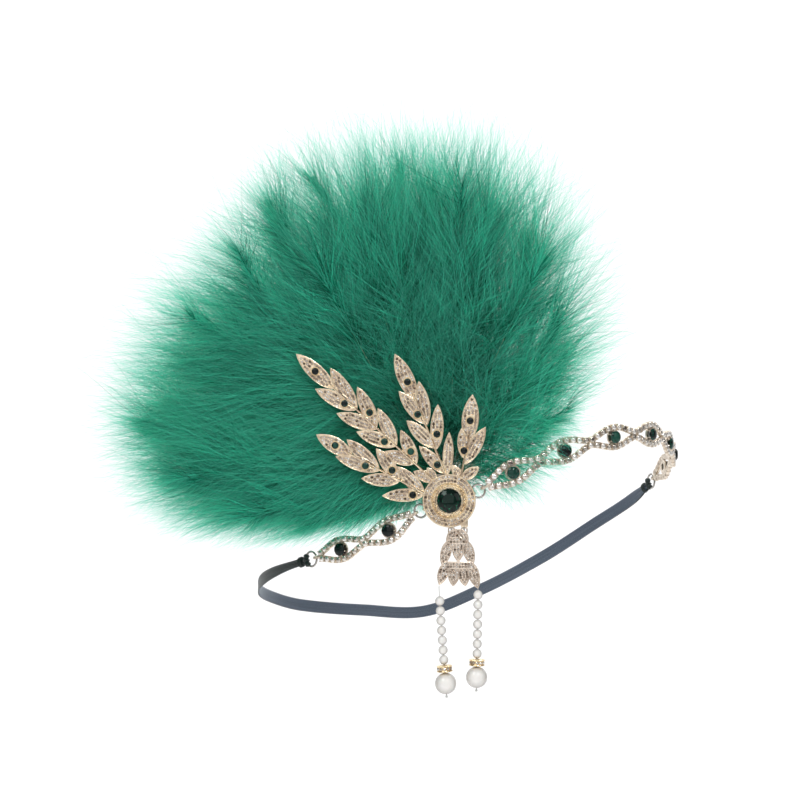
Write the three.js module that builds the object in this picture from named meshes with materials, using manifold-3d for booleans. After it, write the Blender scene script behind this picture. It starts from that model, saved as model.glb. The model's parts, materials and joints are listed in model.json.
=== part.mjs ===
// A feather headband in the style of the 1920s: a cast leaf spray with a round halo and a large cut
// stone, a drop with two pearl strings, two openwork stone chains, a ribbon round the back of the
// head and a plume of marabou feathers behind the spray.
// Millimetres, +Z up. The origin is the middle of the head that wears it. The spray faces -Y.
import * as THREE from "three";
import { mergeVertices } from "three/addons/utils/BufferGeometryUtils.js";
import Module from "manifold-3d";

const wasm = await Module();
wasm.setup();

// The loop round the head
const LOOP_LENGTH = 187;
const LOOP_WIDTH = 168;
const LOOP_RISE = 47;
// Azimuth in degrees from the front towards +X; reach from the middle as a share of the plain ellipse,
// and height as a share of LOOP_RISE
const LOOP_ROUTE = [
  { azimuth: -60, reach: 1.0, rise: -0.24 },
  { azimuth: -42, reach: 1.0, rise: -0.09 },
  { azimuth: -24, reach: 1.0, rise: 0.113 },
  { azimuth: -12, reach: 1.0, rise: 0.351 },
  { azimuth: 0, reach: 1.0, rise: 0.49 },
  { azimuth: 12, reach: 1.006, rise: 0.69 },
  { azimuth: 24, reach: 1.025, rise: 0.861 },
  { azimuth: 36, reach: 1.048, rise: 0.972 },
  { azimuth: 48, reach: 1.052, rise: 1.013 },
  { azimuth: 60, reach: 1.035, rise: 0.983 },
  { azimuth: 72, reach: 1.01, rise: 0.893 },
  { azimuth: 84, reach: 1.0, rise: 0.81 },
  { azimuth: 96, reach: 1.0, rise: 0.73 },
  { azimuth: 108, reach: 1.0, rise: 0.586 },
  { azimuth: 120, reach: 1.0, rise: 0.374 },
  { azimuth: 138, reach: 1.0, rise: 0.067 },
  { azimuth: 156, reach: 1.0, rise: -0.296 },
  { azimuth: 174, reach: 1.0, rise: -0.625 },
  { azimuth: 191, reach: 1.0, rise: -0.85 },
  { azimuth: 210, reach: 1.0, rise: -0.822 },
  { azimuth: 234, reach: 1.0, rise: -0.733 },
  { azimuth: 252, reach: 1.0, rise: -0.612 },
  { azimuth: 270, reach: 1.0, rise: -0.485 },
];
const ROUTE_STEPS = 720;

// The brooch: a round halo with a leaf spray
const BROOCH_AZIMUTH = -5.6;
const BROOCH_HEIGHT = 20;
const HALO_RADIUS = 11.2;
const HALO_THICKNESS = 2.6;
const HALO_RIM = 0.7;
const HALO_FIELD_DEPTH = 0.6;
const BEZEL_RADIUS = 7.2;
const BEZEL_HEIGHT = 0.9;
const CENTRE_STONE_RADIUS = 5.2;
const CENTRE_STONE_CROWN = 1.6;
const CENTRE_STONE_PAVILION = 2.0;
const STONE_GAP = 0.3;
const PLATE_THICKNESS = 1.2;
const LEAF_RIM = 0.55;
const LEAF_RIM_HEIGHT = 0.5;
const LEAF_LAYER = 0.2;
const LEAF_LENGTH = 20;
const LEAF_WIDTH = 7.4;
const STEM_WIDTH = 1.3;
const STEM_HEIGHT = 2.0;
const STEM_LAP = 4;
const SPRAY_REACH = 56;
const LEAF_STONE_RADIUS = 1.5;
const LEAF_STONE_HEIGHT = 1.1;
// Each branch leaves the halo at "root" degrees and heads along "heading", both from +X. Its stem is
// a share of SPRAY_REACH. A leaf starts at a share of the stem, turns from it by "turn" degrees, and
// has its length and width as shares of LEAF_LENGTH and LEAF_WIDTH. A stone sits at a share of the leaf.
const BRANCHES = [
  {
    root: 127, heading: 137.5, stem: 1.0,
    leaves: [
      { from: 1.0, turn: 0, length: 1.1, width: 1.0, stone: 0.5 },
      { from: 0.77, turn: -14.6, length: 1.05, width: 0.95 },
      { from: 0.57, turn: -22, length: 0.96, width: 0.92, stone: 0.37 },
      { from: 0.37, turn: -21, length: 0.89, width: 0.85 },
      { from: 0.166, turn: -22.5, length: 0.8, width: 0.85, stone: 0.37 },
      { from: -0.03, turn: -16, length: 0.36, width: 0.6 },
      { from: 0.77, turn: 16, length: 0.99, width: 0.95, stone: 0.3 },
      { from: 0.56, turn: 22, length: 0.93, width: 0.92 },
      { from: 0.37, turn: 23, length: 0.9, width: 0.9, stone: 0.3 },
      { from: 0.18, turn: 24, length: 0.73, width: 0.85 },
      { from: -0.02, turn: 18, length: 0.5, width: 0.7 },
    ],
  },
  {
    root: 165, heading: 151.6, stem: 0.6,
    leaves: [
      { from: 1.0, turn: -1.6, length: 0.89, width: 1.0, stone: 0.48 },
      { from: 0.62, turn: -14.7, length: 0.95, width: 0.9 },
      { from: 0.33, turn: -25.6, length: 0.86, width: 0.85, stone: 0.33 },
      { from: -0.02, turn: -16.6, length: 0.84, width: 0.85 },
      { from: 0.61, turn: 11, length: 0.99, width: 0.9, stone: 0.33 },
      { from: 0.33, turn: 24.3, length: 0.82, width: 0.85 },
      { from: -0.02, turn: 30.3, length: 0.9, width: 0.85, stone: 0.28 },
    ],
  },
  {
    root: 95.6, heading: 112.6, stem: 0.6,
    leaves: [
      { from: 1.0, turn: 1.8, length: 1.07, width: 1.05, stone: 0.39 },
      { from: 0.65, turn: -12.8, length: 0.96, width: 0.92 },
      { from: 0.33, turn: -24.5, length: 0.96, width: 0.85, stone: 0.34 },
      { from: -0.02, turn: -25.4, length: 0.92, width: 0.7 },
      { from: 0.67, turn: 16.4, length: 0.91, width: 0.85, stone: 0.3 },
      { from: 0.35, turn: 23.8, length: 0.85, width: 0.9 },
      { from: 0.0, turn: 21.7, length: 0.83, width: 0.8, stone: 0.33 },
    ],
  },
  {
    root: 61.6, heading: 79.8, stem: 0.27,
    leaves: [
      { from: 1.0, turn: 5, length: 1.0, width: 1.1, stone: 0.44 },
      { from: 0.5, turn: 17, length: 0.66, width: 0.75, stone: 0.28 },
      { from: -0.05, turn: 44, length: 0.36, width: 0.6 },
      { from: 0.35, turn: -19.4, length: 0.92, width: 0.9 },
      { from: -0.05, turn: -46, length: 0.45, width: 0.7 },
    ],
  },
];

// Wire rings and the lugs that they pass through
const RING_RADIUS = 2.8;
const RIBBON_RING_RADIUS = 3.2;
const WIRE_RADIUS = 0.45;
const WIRE_GAP = 0.3;
const LUG_WALL = 0.75;
const LUG_THICKNESS = 1.2;
const BACK_LUG_OFFSET = 1.25;
const BACK_LUG_RADIUS = 10.2;
const BACK_LUG_AZIMUTHS = { left: 199, right: 14 };
// The way each chain travels round the loop
const DIRECTIONS = { left: -1, right: 1 };

// The stone chains: two wavy rows of stones with a larger stone in each lobe
const LOBE_PITCH = 24.4;
const LOBES = { left: 2, right: 7 };
const ROW_WIDTH = 2.4;
const ROW_TABLE = 1.4;
const ROW_THICKNESS = 2.2;
const ROW_NECK = 0.8;
const ROW_STEPS_PER_LOBE = 10;
const ROW_OVERLAP = 0.2;
const CHAIN_STONE_RADIUS = 2.7;
const CHAIN_STONE_HEIGHT = 1.9;
const CHAIN_SEAT_THICKNESS = 0.8;
const CHAIN_SEAT_LAP = 0.35;
const LUG_REACH = 1.6;

// The drop and its two pearl strings. Its hinge bars sit behind the halo's lower edge.
const DROP_RING_RADIUS = 1.4;
const DROP_WIRE_RADIUS = 0.28;
const HINGE_BAR = 0.6;
const HINGE_GAP = 0.2;
const HINGE_EYE_WIDTH = 1.8;
const HINGE_EYE_HEIGHT = 1.35;
const HINGE_EYES = { left: 1.0, right: 6.4 };
const HINGE_ABOVE_EDGE = 0.6;
const HINGE_BEHIND = 2.15;
const DROP_TOP_GAP = 0.6;
const DROP_LENGTH = 25.4;
const DROP_WIDTH = 15.8;
const DROP_THICKNESS = 1.2;
const DROP_RIM = 0.45;
// Leaves of the drop: base and tip as shares of DROP_WIDTH (from the middle) and DROP_LENGTH (down),
// and the string that hangs from the leaf, if there is one
const DROP_LEAVES = [
  { base: [0.04, 0.02], tip: [-0.3, 0.25], width: 0.29 },
  { base: [-0.04, 0.02], tip: [0.27, 0.25], width: 0.29 },
  { base: [0.01, 0.14], tip: [0.01, 0.54], width: 0.29 },
  { base: [-0.24, 0.2], tip: [-0.41, 0.57], width: 0.22 },
  { base: [0.2, 0.2], tip: [0.37, 0.55], width: 0.23 },
  { base: [-0.28, 0.54], tip: [-0.5, 0.94], width: 0.24, string: "left" },
  { base: [-0.09, 0.6], tip: [-0.13, 0.96], width: 0.25 },
  { base: [0.12, 0.6], tip: [0.2, 0.96], width: 0.25 },
  { base: [0.32, 0.54], tip: [0.54, 1.0], width: 0.25, string: "right" },
];
const DROP_BARS = [
  { from: [-0.4, 0.62], to: [0.42, 0.62] },
  { from: [-0.25, 0.2], to: [0.23, 0.2] },
];
const DROP_BAR_WIDTH = 3.2;
const STRING_START = 0.35;
const PEARL_RADIUS = 1.93;
const PEARL_PITCH = 4.12;
const PEARLS_PER_STRING = 7;
const BEAD_HOLE_RADIUS = 0.5;
const THREAD_RADIUS = 0.25;
const RONDELLE_RADIUS = 3.4;
const RONDELLE_THICKNESS = 3.0;
const LARGE_PEARL_RADIUS = 4.5;
const BEAD_GAP = 0.25;
const STRINGS = {
  left: { free: 4.6, sway: 3.2 },
  right: { free: 0.5, sway: -0.7 },
};

// The ribbon
const RIBBON_WIDTH = 5.4;
const RIBBON_THICKNESS = 1.0;
const RIBBON_STEP = 10;
const KNOT_RADIUS = 1.75;
const KNOT_SPAN = 50;
const RIBBON_RIGHT_GATHER = 3;
// Along the ribbon from the left knot: place in mm from each end, width and thickness as shares
const RIBBON_GATHERS = [
  { place: 0, width: 0.5, thickness: 2.2 },
  { place: 12, width: 0.6, thickness: 2.0 },
  { place: 26, width: 0.85, thickness: 1.5 },
  { place: 40, width: 1.0, thickness: 1.0 },
];

// The plume of feathers and its clip
const CLIP_SIZE = { width: 12, height: 8, thickness: 2.4 };
const CLIP_RISE = 7;
const PLUME_REACH = 150;
const PLUME_HEAD_RADIUS = 3.6;
// How far the feathers curve back behind the spray, as a share of their reach
const PLUME_HOLLOW = 0.085;
const LOCK_LENGTH = 52;
const LOCK_RADIUS = 17;
// How thick a lock is from front to back, as a share of its width
const LOCK_FLATNESS = 0.8;
const LOCK_SIDES = 5;
// Feathers: heading from +X in degrees and reach as a share of PLUME_REACH; bow to the side, sag and
// lean towards the head, each as a share of the reach; "lock" scales the side locks
const FEATHERS = [
  { heading: 186, reach: 0.84, bow: -0.05, sag: 0.03, lean: 0.02, lock: 0.75 },
  { heading: 171, reach: 1.0, bow: -0.05, sag: 0.02, lean: -0.06, lock: 0.95 },
  { heading: 156, reach: 1.01, bow: -0.04, sag: 0.0, lean: 0.08, lock: 1.0 },
  { heading: 140, reach: 1.0, bow: -0.02, sag: 0.0, lean: -0.06, lock: 1.0 },
  { heading: 124, reach: 1.04, bow: 0.0, sag: 0.0, lean: 0.08, lock: 1.0 },
  { heading: 108, reach: 1.08, bow: 0.0, sag: 0.0, lean: -0.06, lock: 1.0 },
  { heading: 92, reach: 1.05, bow: 0.01, sag: 0.0, lean: 0.08, lock: 1.0 },
  { heading: 77, reach: 1.03, bow: 0.02, sag: 0.0, lean: -0.06, lock: 1.0 },
  { heading: 62, reach: 0.92, bow: 0.04, sag: 0.0, lean: 0.07, lock: 0.9 },
  { heading: 45, reach: 0.72, bow: 0.08, sag: 0.0, lean: -0.06, lock: 0.75 },
];
// A feather's middle lock and its side locks: places as shares of its reach, radii as shares of
// LOCK_RADIUS, splay in degrees
const VANE = [
  { place: 0.0, radius: 0.25 },
  { place: 0.3, radius: 0.75 },
  { place: 0.65, radius: 1.1 },
  { place: 0.9, radius: 0.75 },
  { place: 1.0, radius: 0.25 },
];
const SIDE_LOCKS = [
  { place: 0.42, splay: 52, length: 1.0, lift: 0 },
  { place: 0.64, splay: 38, length: 0.9, lift: 0 },
  { place: 0.82, splay: 30, length: 0.62, lift: 0 },
];

const METAL = new THREE.MeshStandardMaterial({ color: 0xc9a284, roughness: 0.28, metalness: 1 });
const SILVER = new THREE.MeshStandardMaterial({ color: 0x9a968f, roughness: 0.25, metalness: 1 });
const GREEN_STONE = new THREE.MeshStandardMaterial({ color: 0x06412f, roughness: 0.05, metalness: 0 });
const DARK_STONE = new THREE.MeshStandardMaterial({ color: 0x0c1f1b, roughness: 0.08, metalness: 0 });
const PEARL = new THREE.MeshStandardMaterial({ color: 0xeeeae4, roughness: 0.25, metalness: 0 });
const THREAD = new THREE.MeshStandardMaterial({ color: 0xe4e4e2, roughness: 0.6, metalness: 0 });
const RIBBON = new THREE.MeshStandardMaterial({ color: 0x3c4653, roughness: 0.45, metalness: 0 });
const FEATHER = new THREE.MeshStandardMaterial({ color: 0x1e7a5c, roughness: 0.9, metalness: 0 });

const headband = new THREE.Group();
const DEG = Math.PI / 180;
const UP = new THREE.Vector3(0, 0, 1);
const FLAT = new THREE.Matrix4();
const v3 = (x, y, z) => new THREE.Vector3(x, y, z);

// A closed geometry, put in its place, as a solid that can be joined and cut
function solidOf(geometry, place = FLAT) {
  const bare = geometry.index ? geometry.toNonIndexed() : geometry.clone();
  for (const name of Object.keys(bare.attributes)) {
    if (name !== "position") bare.deleteAttribute(name);
  }
  const merged = mergeVertices(bare.applyMatrix4(place), 1e-4);
  return new wasm.Manifold(new wasm.Mesh({
    numProp: 3,
    vertProperties: new Float32Array(merged.attributes.position.array),
    triVerts: new Uint32Array(merged.index.array),
  }));
}

function joined(solids) {
  return solids.reduce((all, one) => all.add(one));
}

function geometryOf(solid) {
  const mesh = solid.getMesh();
  const positions = new Float32Array(mesh.numVert * 3);
  for (let i = 0; i < mesh.numVert; i++) {
    positions.set(mesh.vertProperties.subarray(i * mesh.numProp, i * mesh.numProp + 3), i * 3);
  }
  const geometry = new THREE.BufferGeometry();
  geometry.setAttribute("position", new THREE.BufferAttribute(positions, 3));
  geometry.setIndex(new THREE.BufferAttribute(new Uint32Array(mesh.triVerts), 1));
  return geometry;
}

function addNode(name, geometry, material, parent, place = FLAT) {
  const node = new THREE.Mesh(geometry, material);
  node.name = name;
  place.decompose(node.position, node.quaternion, node.scale);
  parent.add(node);
}

// A right-handed place: its x and y directions and its origin
function placed(x, y, at) {
  const z = x.clone().cross(y).normalize();
  return new THREE.Matrix4().makeBasis(x.clone().normalize(), z.clone().cross(x).normalize(), z).setPosition(at);
}

// A closed body through rings of points, with flat ends
function loft(rings) {
  const sides = rings[0].length;
  const middle = (ring) => ring.reduce((sum, p) => sum.add(p), v3(0, 0, 0)).divideScalar(sides);
  const centre = middle(rings[0]);
  const facing = v3(0, 0, 0);
  rings[0].forEach((p, i) => {
    facing.add(p.clone().sub(centre).cross(rings[0][(i + 1) % sides].clone().sub(centre)));
  });
  const ahead = middle(rings[1]).sub(centre);
  const turned = facing.dot(ahead) > 0 ? rings : rings.map((ring) => [...ring].reverse());
  const index = [];
  for (let r = 0; r < rings.length - 1; r++) {
    for (let i = 0; i < sides; i++) {
      const a = r * sides + i;
      const b = r * sides + (i + 1) % sides;
      index.push(a, b, b + sides, a, b + sides, a + sides);
    }
  }
  const last = (rings.length - 1) * sides;
  for (let i = 1; i < sides - 1; i++) {
    index.push(0, i + 1, i);
    index.push(last, last + i, last + i + 1);
  }
  const geometry = new THREE.BufferGeometry().setFromPoints(turned.flat());
  geometry.setIndex(index);
  return geometry;
}

// A rod of round section along a curve through some points
function rod(points, radius, steps, sides) {
  const section = new THREE.Shape();
  for (let i = 0; i < sides; i++) {
    const turn = 360 * DEG * i / sides;
    const at = [radius * Math.cos(turn), radius * Math.sin(turn)];
    if (i === 0) section.moveTo(...at);
    else section.lineTo(...at);
  }
  section.closePath();
  return new THREE.ExtrudeGeometry(section, { steps, extrudePath: new THREE.CatmullRomCurve3(points) });
}

function polygon(points) {
  const shape = new THREE.Shape();
  points.forEach(([x, y], i) => (i === 0 ? shape.moveTo(x, y) : shape.lineTo(x, y)));
  shape.closePath();
  return shape;
}

// A column of LOOP_ROUTE at an azimuth: a smooth curve through its rows
function routeValue(key, azimuth) {
  const count = LOOP_ROUTE.length;
  const row = (i) => {
    const wrapped = LOOP_ROUTE[((i % count) + count) % count];
    return { at: wrapped.azimuth + 360 * Math.floor(i / count), value: wrapped[key] };
  };
  const first = LOOP_ROUTE[0].azimuth;
  const turn = azimuth - 360 * Math.floor((azimuth - first) / 360);
  let i = 0;
  while (row(i + 1).at <= turn) i++;
  const [before, here, next, after] = [row(i - 1), row(i), row(i + 1), row(i + 2)];
  const span = next.at - here.at;
  const startSlope = (next.value - before.value) / (next.at - before.at);
  const endSlope = (after.value - here.value) / (after.at - here.at);
  const t = (turn - here.at) / span;
  return (2 * t ** 3 - 3 * t ** 2 + 1) * here.value
    + (t ** 3 - 2 * t ** 2 + t) * span * startSlope
    + (3 * t ** 2 - 2 * t ** 3) * next.value
    + (t ** 3 - t ** 2) * span * endSlope;
}

function loopPoint(azimuth) {
  const reach = routeValue("reach", azimuth);
  const x = reach * LOOP_LENGTH / 2 * Math.sin(azimuth * DEG);
  const y = -reach * LOOP_WIDTH / 2 * Math.cos(azimuth * DEG);
  return v3(x, y, LOOP_RISE * routeValue("rise", azimuth));
}

// The loop by its arc length, from the brooch round by +X
const route = [];
for (let i = 0, length = 0; i <= ROUTE_STEPS; i++) {
  const azimuth = BROOCH_AZIMUTH + 360 * i / ROUTE_STEPS;
  const point = loopPoint(azimuth);
  if (i > 0) length += point.distanceTo(route[i - 1].point);
  route.push({ azimuth, point, length });
}
const ROUTE_LENGTH = route[ROUTE_STEPS].length;

// The loop's place, its direction of travel, the way out from the head and the way across the band
function along(length) {
  const wrapped = ((length % ROUTE_LENGTH) + ROUTE_LENGTH) % ROUTE_LENGTH;
  let i = 1;
  while (route[i].length < wrapped) i++;
  const share = (wrapped - route[i - 1].length) / (route[i].length - route[i - 1].length);
  const azimuth = route[i - 1].azimuth + share * (route[i].azimuth - route[i - 1].azimuth);
  const point = loopPoint(azimuth);
  const travel = loopPoint(azimuth + 0.5).sub(loopPoint(azimuth - 0.5)).normalize();
  const out = travel.clone().cross(UP).normalize();
  const across = out.clone().cross(travel).normalize();
  return { point, travel, out, across };
}

// The arc length, past "start" in the given direction, where the loop is "distance" from a point
function lengthAtDistance(from, distance, start, direction) {
  let near = start;
  let far = start + direction * 3 * distance;
  for (let i = 0; i < 40; i++) {
    const middle = (near + far) / 2;
    if (along(middle).point.distanceTo(from) < distance) near = middle;
    else far = middle;
  }
  return near;
}

// The brooch's own frame: x to the right, y up and z towards the viewer, from the halo's back
const broochAt = v3(
  LOOP_LENGTH / 2 * Math.sin(BROOCH_AZIMUTH * DEG),
  -LOOP_WIDTH / 2 * Math.cos(BROOCH_AZIMUTH * DEG) - BACK_LUG_OFFSET,
  BROOCH_HEIGHT,
);
const broochPlace = placed(v3(1, 0, 0), UP, broochAt);
const brooch = new THREE.Group();
broochPlace.decompose(brooch.position, brooch.quaternion, brooch.scale);
headband.add(brooch);

// A pointed leaf plate in its place's x-y plane from the origin along x, with a raised rim
function leafSolid(size, place) {
  const { length, width, base, rim, rimHeight } = size;
  const outline = (inset) => {
    const start = inset * 1.8;
    const end = length - inset * 1.8;
    const half = width / 2 - inset;
    const shape = new THREE.Shape();
    shape.moveTo(start, 0);
    shape.bezierCurveTo(start + length * 0.16, -half * 1.3, end - length * 0.3, -half * 1.45, end, 0);
    shape.bezierCurveTo(end - length * 0.3, half * 1.45, start + length * 0.16, half * 1.3, start, 0);
    return shape;
  };
  const plate = new THREE.ExtrudeGeometry(outline(0), {
    bevelEnabled: false, curveSegments: 4, depth: base + rimHeight,
  });
  const field = new THREE.ExtrudeGeometry(outline(rim), {
    bevelEnabled: false, curveSegments: 4, depth: rimHeight * 2,
  });
  field.translate(0, 0, base);
  return solidOf(plate, place).subtract(solidOf(field, place));
}

function barSolid(from, to, width, height) {
  const bar = new THREE.BoxGeometry(from.distanceTo(to), width, height);
  bar.translate(from.distanceTo(to) / 2, 0, height / 2);
  bar.rotateZ(Math.atan2(to.y - from.y, to.x - from.x));
  bar.translate(from.x, from.y, from.z);
  return solidOf(bar);
}

// A lug in its place: a plate round a hole along z at the origin, with its foot towards x
function lugSolid(foot, place) {
  const outer = WIRE_RADIUS + WIRE_GAP + LUG_WALL;
  const shape = new THREE.Shape();
  shape.moveTo(foot, -outer * 0.8);
  shape.lineTo(foot, outer * 0.8);
  shape.lineTo(0, outer);
  shape.absarc(0, 0, outer, 90 * DEG, 270 * DEG, false);
  shape.closePath();
  const hole = new THREE.Path();
  hole.absarc(0, 0, WIRE_RADIUS + WIRE_GAP, 0, 360 * DEG, true);
  shape.holes.push(hole);
  const plate = new THREE.ExtrudeGeometry(shape, {
    depth: LUG_THICKNESS, bevelEnabled: false, curveSegments: 4,
  });
  plate.translate(0, 0, -LUG_THICKNESS / 2);
  return solidOf(plate, place);
}

// Where a lug behind the halo holds the ring of a chain
function backLugHole(side) {
  const turn = BACK_LUG_AZIMUTHS[side] * DEG;
  return v3(BACK_LUG_RADIUS * Math.cos(turn), BACK_LUG_RADIUS * Math.sin(turn), -BACK_LUG_OFFSET);
}

// The ring between a back lug and its chain: the chain's arc length at its first lug, the ring's
// middle and axis, and the way its wire runs through the back lug
function broochTie(side) {
  const direction = DIRECTIONS[side];
  const hole = backLugHole(side).applyMatrix4(broochPlace);
  const start = lengthAtDistance(hole, 2 * RING_RADIUS, direction * BACK_LUG_RADIUS * 0.8, direction);
  const lug = along(start);
  const reach = lug.point.clone().sub(hole);
  const axis = reach.clone().cross(lug.across).normalize();
  const middle = hole.clone().add(lug.point).multiplyScalar(0.5);
  return { start, middle, axis, wire: axis.clone().cross(reach).normalize() };
}

function backLug(side) {
  const wire = broochTie(side).wire.transformDirection(broochPlace.clone().invert());
  const foot = v3(0, 0, 1);
  return lugSolid(BACK_LUG_OFFSET + PLATE_THICKNESS, placed(foot, wire.cross(foot), backLugHole(side)));
}

// The hinge bars behind the halo, and the drop's rings on them
const hingeHeight = HINGE_ABOVE_EDGE - HALO_RADIUS;
const hingeDepth = -HINGE_BEHIND;
const hingeReach = HINGE_BAR / 2 * Math.SQRT2 + DROP_WIRE_RADIUS + HINGE_GAP;
const dropTop = hingeHeight - 2 * (DROP_RING_RADIUS - hingeReach);
const dropMiddle = (HINGE_EYES.left + HINGE_EYES.right) / 2;
const eyeHalf = HINGE_EYE_WIDTH / 2 + HINGE_BAR;

// A bar with two posts to the halo's back, and the tongue that carries them
function hingeStaples() {
  const box = (x, y, z) => {
    const body = new THREE.BoxGeometry(x[1] - x[0], y[1] - y[0], z[1] - z[0]);
    return solidOf(body.translate((x[0] + x[1]) / 2, (y[0] + y[1]) / 2, (z[0] + z[1]) / 2));
  };
  const bar = [hingeHeight - HINGE_BAR / 2, hingeHeight + HINGE_BAR / 2];
  const tongueX = [HINGE_EYES.left - eyeHalf - LEAF_LAYER, HINGE_EYES.right + eyeHalf + LEAF_LAYER];
  const parts = [box(tongueX, [bar[0] - LEAF_LAYER, -HALO_RADIUS / 2], [-LEAF_LAYER / 2, PLATE_THICKNESS])];
  for (const x of [HINGE_EYES.left, HINGE_EYES.right]) {
    parts.push(box([x - eyeHalf, x + eyeHalf], bar, [hingeDepth - HINGE_BAR / 2, hingeDepth + HINGE_BAR / 2]));
    for (const side of [-1, 1]) {
      const post = [x + side * eyeHalf, x + side * HINGE_EYE_WIDTH / 2].sort((a, b) => a - b);
      parts.push(box(post, bar, [hingeDepth, LEAF_LAYER]));
    }
  }
  return parts;
}

// A square eye at the top of the drop
function dropEye(x) {
  const half = HINGE_EYE_WIDTH / 2;
  const top = dropTop + HINGE_BAR / 2;
  const bottom = top - HINGE_EYE_HEIGHT - 2 * HINGE_BAR;
  const shape = polygon([
    [x - eyeHalf, bottom], [x + eyeHalf, bottom], [x + eyeHalf, top], [x - eyeHalf, top],
  ]);
  const [low, high] = [bottom + HINGE_BAR, top - HINGE_BAR];
  shape.holes.push(polygon([[x - half, low], [x - half, high], [x + half, high], [x + half, low]]));
  const eye = new THREE.ExtrudeGeometry(shape, { depth: HINGE_BAR, bevelEnabled: false });
  return solidOf(eye.translate(0, 0, hingeDepth - HINGE_BAR / 2));
}

// A round cut stone along z, from its flat foot at "low"
function cutStone(radius, low, pavilion, crown, sides) {
  const girdle = low + pavilion;
  const high = girdle + crown;
  const profile = [[0, low], [radius * 0.45, low], [radius, girdle], [radius * 0.6, high], [0, high]];
  const stone = new THREE.LatheGeometry(profile.map(([r, z]) => new THREE.Vector2(r, z)), sides);
  return stone.rotateX(90 * DEG);
}

function disc(radius, low, high, sides) {
  const body = new THREE.CylinderGeometry(radius, radius, high - low, sides);
  return body.rotateX(90 * DEG).translate(0, 0, (low + high) / 2);
}

function leafPlace(branch, leaf) {
  const turn = (branch.heading + leaf.turn) * DEG;
  const root = v3(Math.cos(branch.root * DEG), Math.sin(branch.root * DEG), 0).multiplyScalar(HALO_RADIUS);
  const heading = v3(Math.cos(branch.heading * DEG), Math.sin(branch.heading * DEG), 0);
  const stem = branch.stem * SPRAY_REACH;
  const at = root.clone().addScaledVector(heading, stem * leaf.from);
  return { root, stemEnd: root.clone().addScaledVector(heading, stem + STEM_LAP), at, turn };
}

// The spray: halo, stems, leaves with their small dark stones, and lugs, cast and soldered into one
function makeSpray() {
  const parts = [];
  for (const branch of BRANCHES) {
    branch.leaves.forEach((leaf, i) => {
      const { at, turn } = leafPlace(branch, leaf);
      const length = leaf.length * LEAF_LENGTH;
      const lift = LEAF_LAYER * (i % 3);
      const size = {
        length, width: leaf.width * LEAF_WIDTH, base: PLATE_THICKNESS, rim: LEAF_RIM, rimHeight: LEAF_RIM_HEIGHT,
      };
      const place = new THREE.Matrix4().makeRotationZ(turn).setPosition(at.x, at.y, lift);
      parts.push(leafSolid(size, place));
      if (leaf.stone) {
        const low = PLATE_THICKNESS - LEAF_LAYER;
        const high = PLATE_THICKNESS + LEAF_STONE_HEIGHT;
        const stone = new THREE.CylinderGeometry(LEAF_STONE_RADIUS * 0.6, LEAF_STONE_RADIUS, high - low, 8);
        stone.rotateX(90 * DEG).translate(length * leaf.stone, 0, (low + high) / 2);
        parts.push(solidOf(stone, place));
      }
    });
    const { root, stemEnd } = leafPlace(branch, branch.leaves[0]);
    parts.push(barSolid(root.clone().multiplyScalar(0.85), stemEnd, STEM_WIDTH, STEM_HEIGHT));
  }
  const fieldTop = HALO_THICKNESS - HALO_FIELD_DEPTH;
  const bezelTop = HALO_THICKNESS + BEZEL_HEIGHT;
  const seat = fieldTop - CENTRE_STONE_PAVILION / 2;
  let halo = joined(parts).add(solidOf(disc(HALO_RADIUS, -LEAF_LAYER, HALO_THICKNESS, 24)));
  halo = halo.subtract(solidOf(disc(HALO_RADIUS - HALO_RIM, fieldTop, bezelTop, 24)));
  halo = halo.add(solidOf(disc(BEZEL_RADIUS, fieldTop - LEAF_LAYER, bezelTop, 16)));
  halo = halo.subtract(solidOf(disc(CENTRE_STONE_RADIUS + STONE_GAP, seat, bezelTop + STONE_GAP, 16)));
  const spray = joined([halo, ...hingeStaples(), backLug("left"), backLug("right")]);
  addNode("leaf_spray", geometryOf(spray), METAL, brooch);
  const stone = cutStone(
    CENTRE_STONE_RADIUS, seat + STONE_GAP, CENTRE_STONE_PAVILION, CENTRE_STONE_CROWN, 12);
  addNode("centre_stone", stone, GREEN_STONE, brooch);
}

function addRing(name, centre, axis, radius, wireRadius, parent) {
  const ring = new THREE.Mesh(new THREE.TorusGeometry(radius, wireRadius, 6, 12), SILVER);
  ring.quaternion.setFromUnitVectors(UP, axis.clone().normalize());
  ring.position.copy(centre);
  ring.name = name;
  parent.add(ring);
}

// How far a row of stones lies from the middle of the band
function rowOffset(place) {
  const lobe = CHAIN_STONE_RADIUS + STONE_GAP + ROW_WIDTH / 2;
  const waist = ROW_WIDTH / 2 - ROW_OVERLAP / 2;
  const swell = (1 - Math.cos(360 * DEG * place / LOBE_PITCH)) / 2;
  return waist + (lobe - waist) * swell ** 0.8;
}

// One wavy row of stones on its strip of setting, narrow between two stones
function rowOfStones(row, start, direction, lobes) {
  const steps = lobes * ROW_STEPS_PER_LOBE;
  const rings = [];
  for (let i = 0; i <= steps; i++) {
    const place = lobes * LOBE_PITCH * i / steps;
    const here = along(start + direction * place);
    const slope = (rowOffset(place + 0.1) - rowOffset(place - 0.1)) / 0.2;
    const sideways = here.across.clone().addScaledVector(here.travel, -direction * row * slope).normalize();
    const full = i % 2 === 1 ? 1 : ROW_NECK;
    const corner = (width, height) => here.point.clone()
      .addScaledVector(here.across, row * rowOffset(place))
      .addScaledVector(sideways, width * full / 2)
      .addScaledVector(here.out, height * ROW_THICKNESS * full / 2);
    rings.push([corner(-ROW_WIDTH, -1), corner(ROW_WIDTH, -1), corner(ROW_TABLE, 1), corner(-ROW_TABLE, 1)]);
  }
  return solidOf(loft(rings));
}

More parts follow.
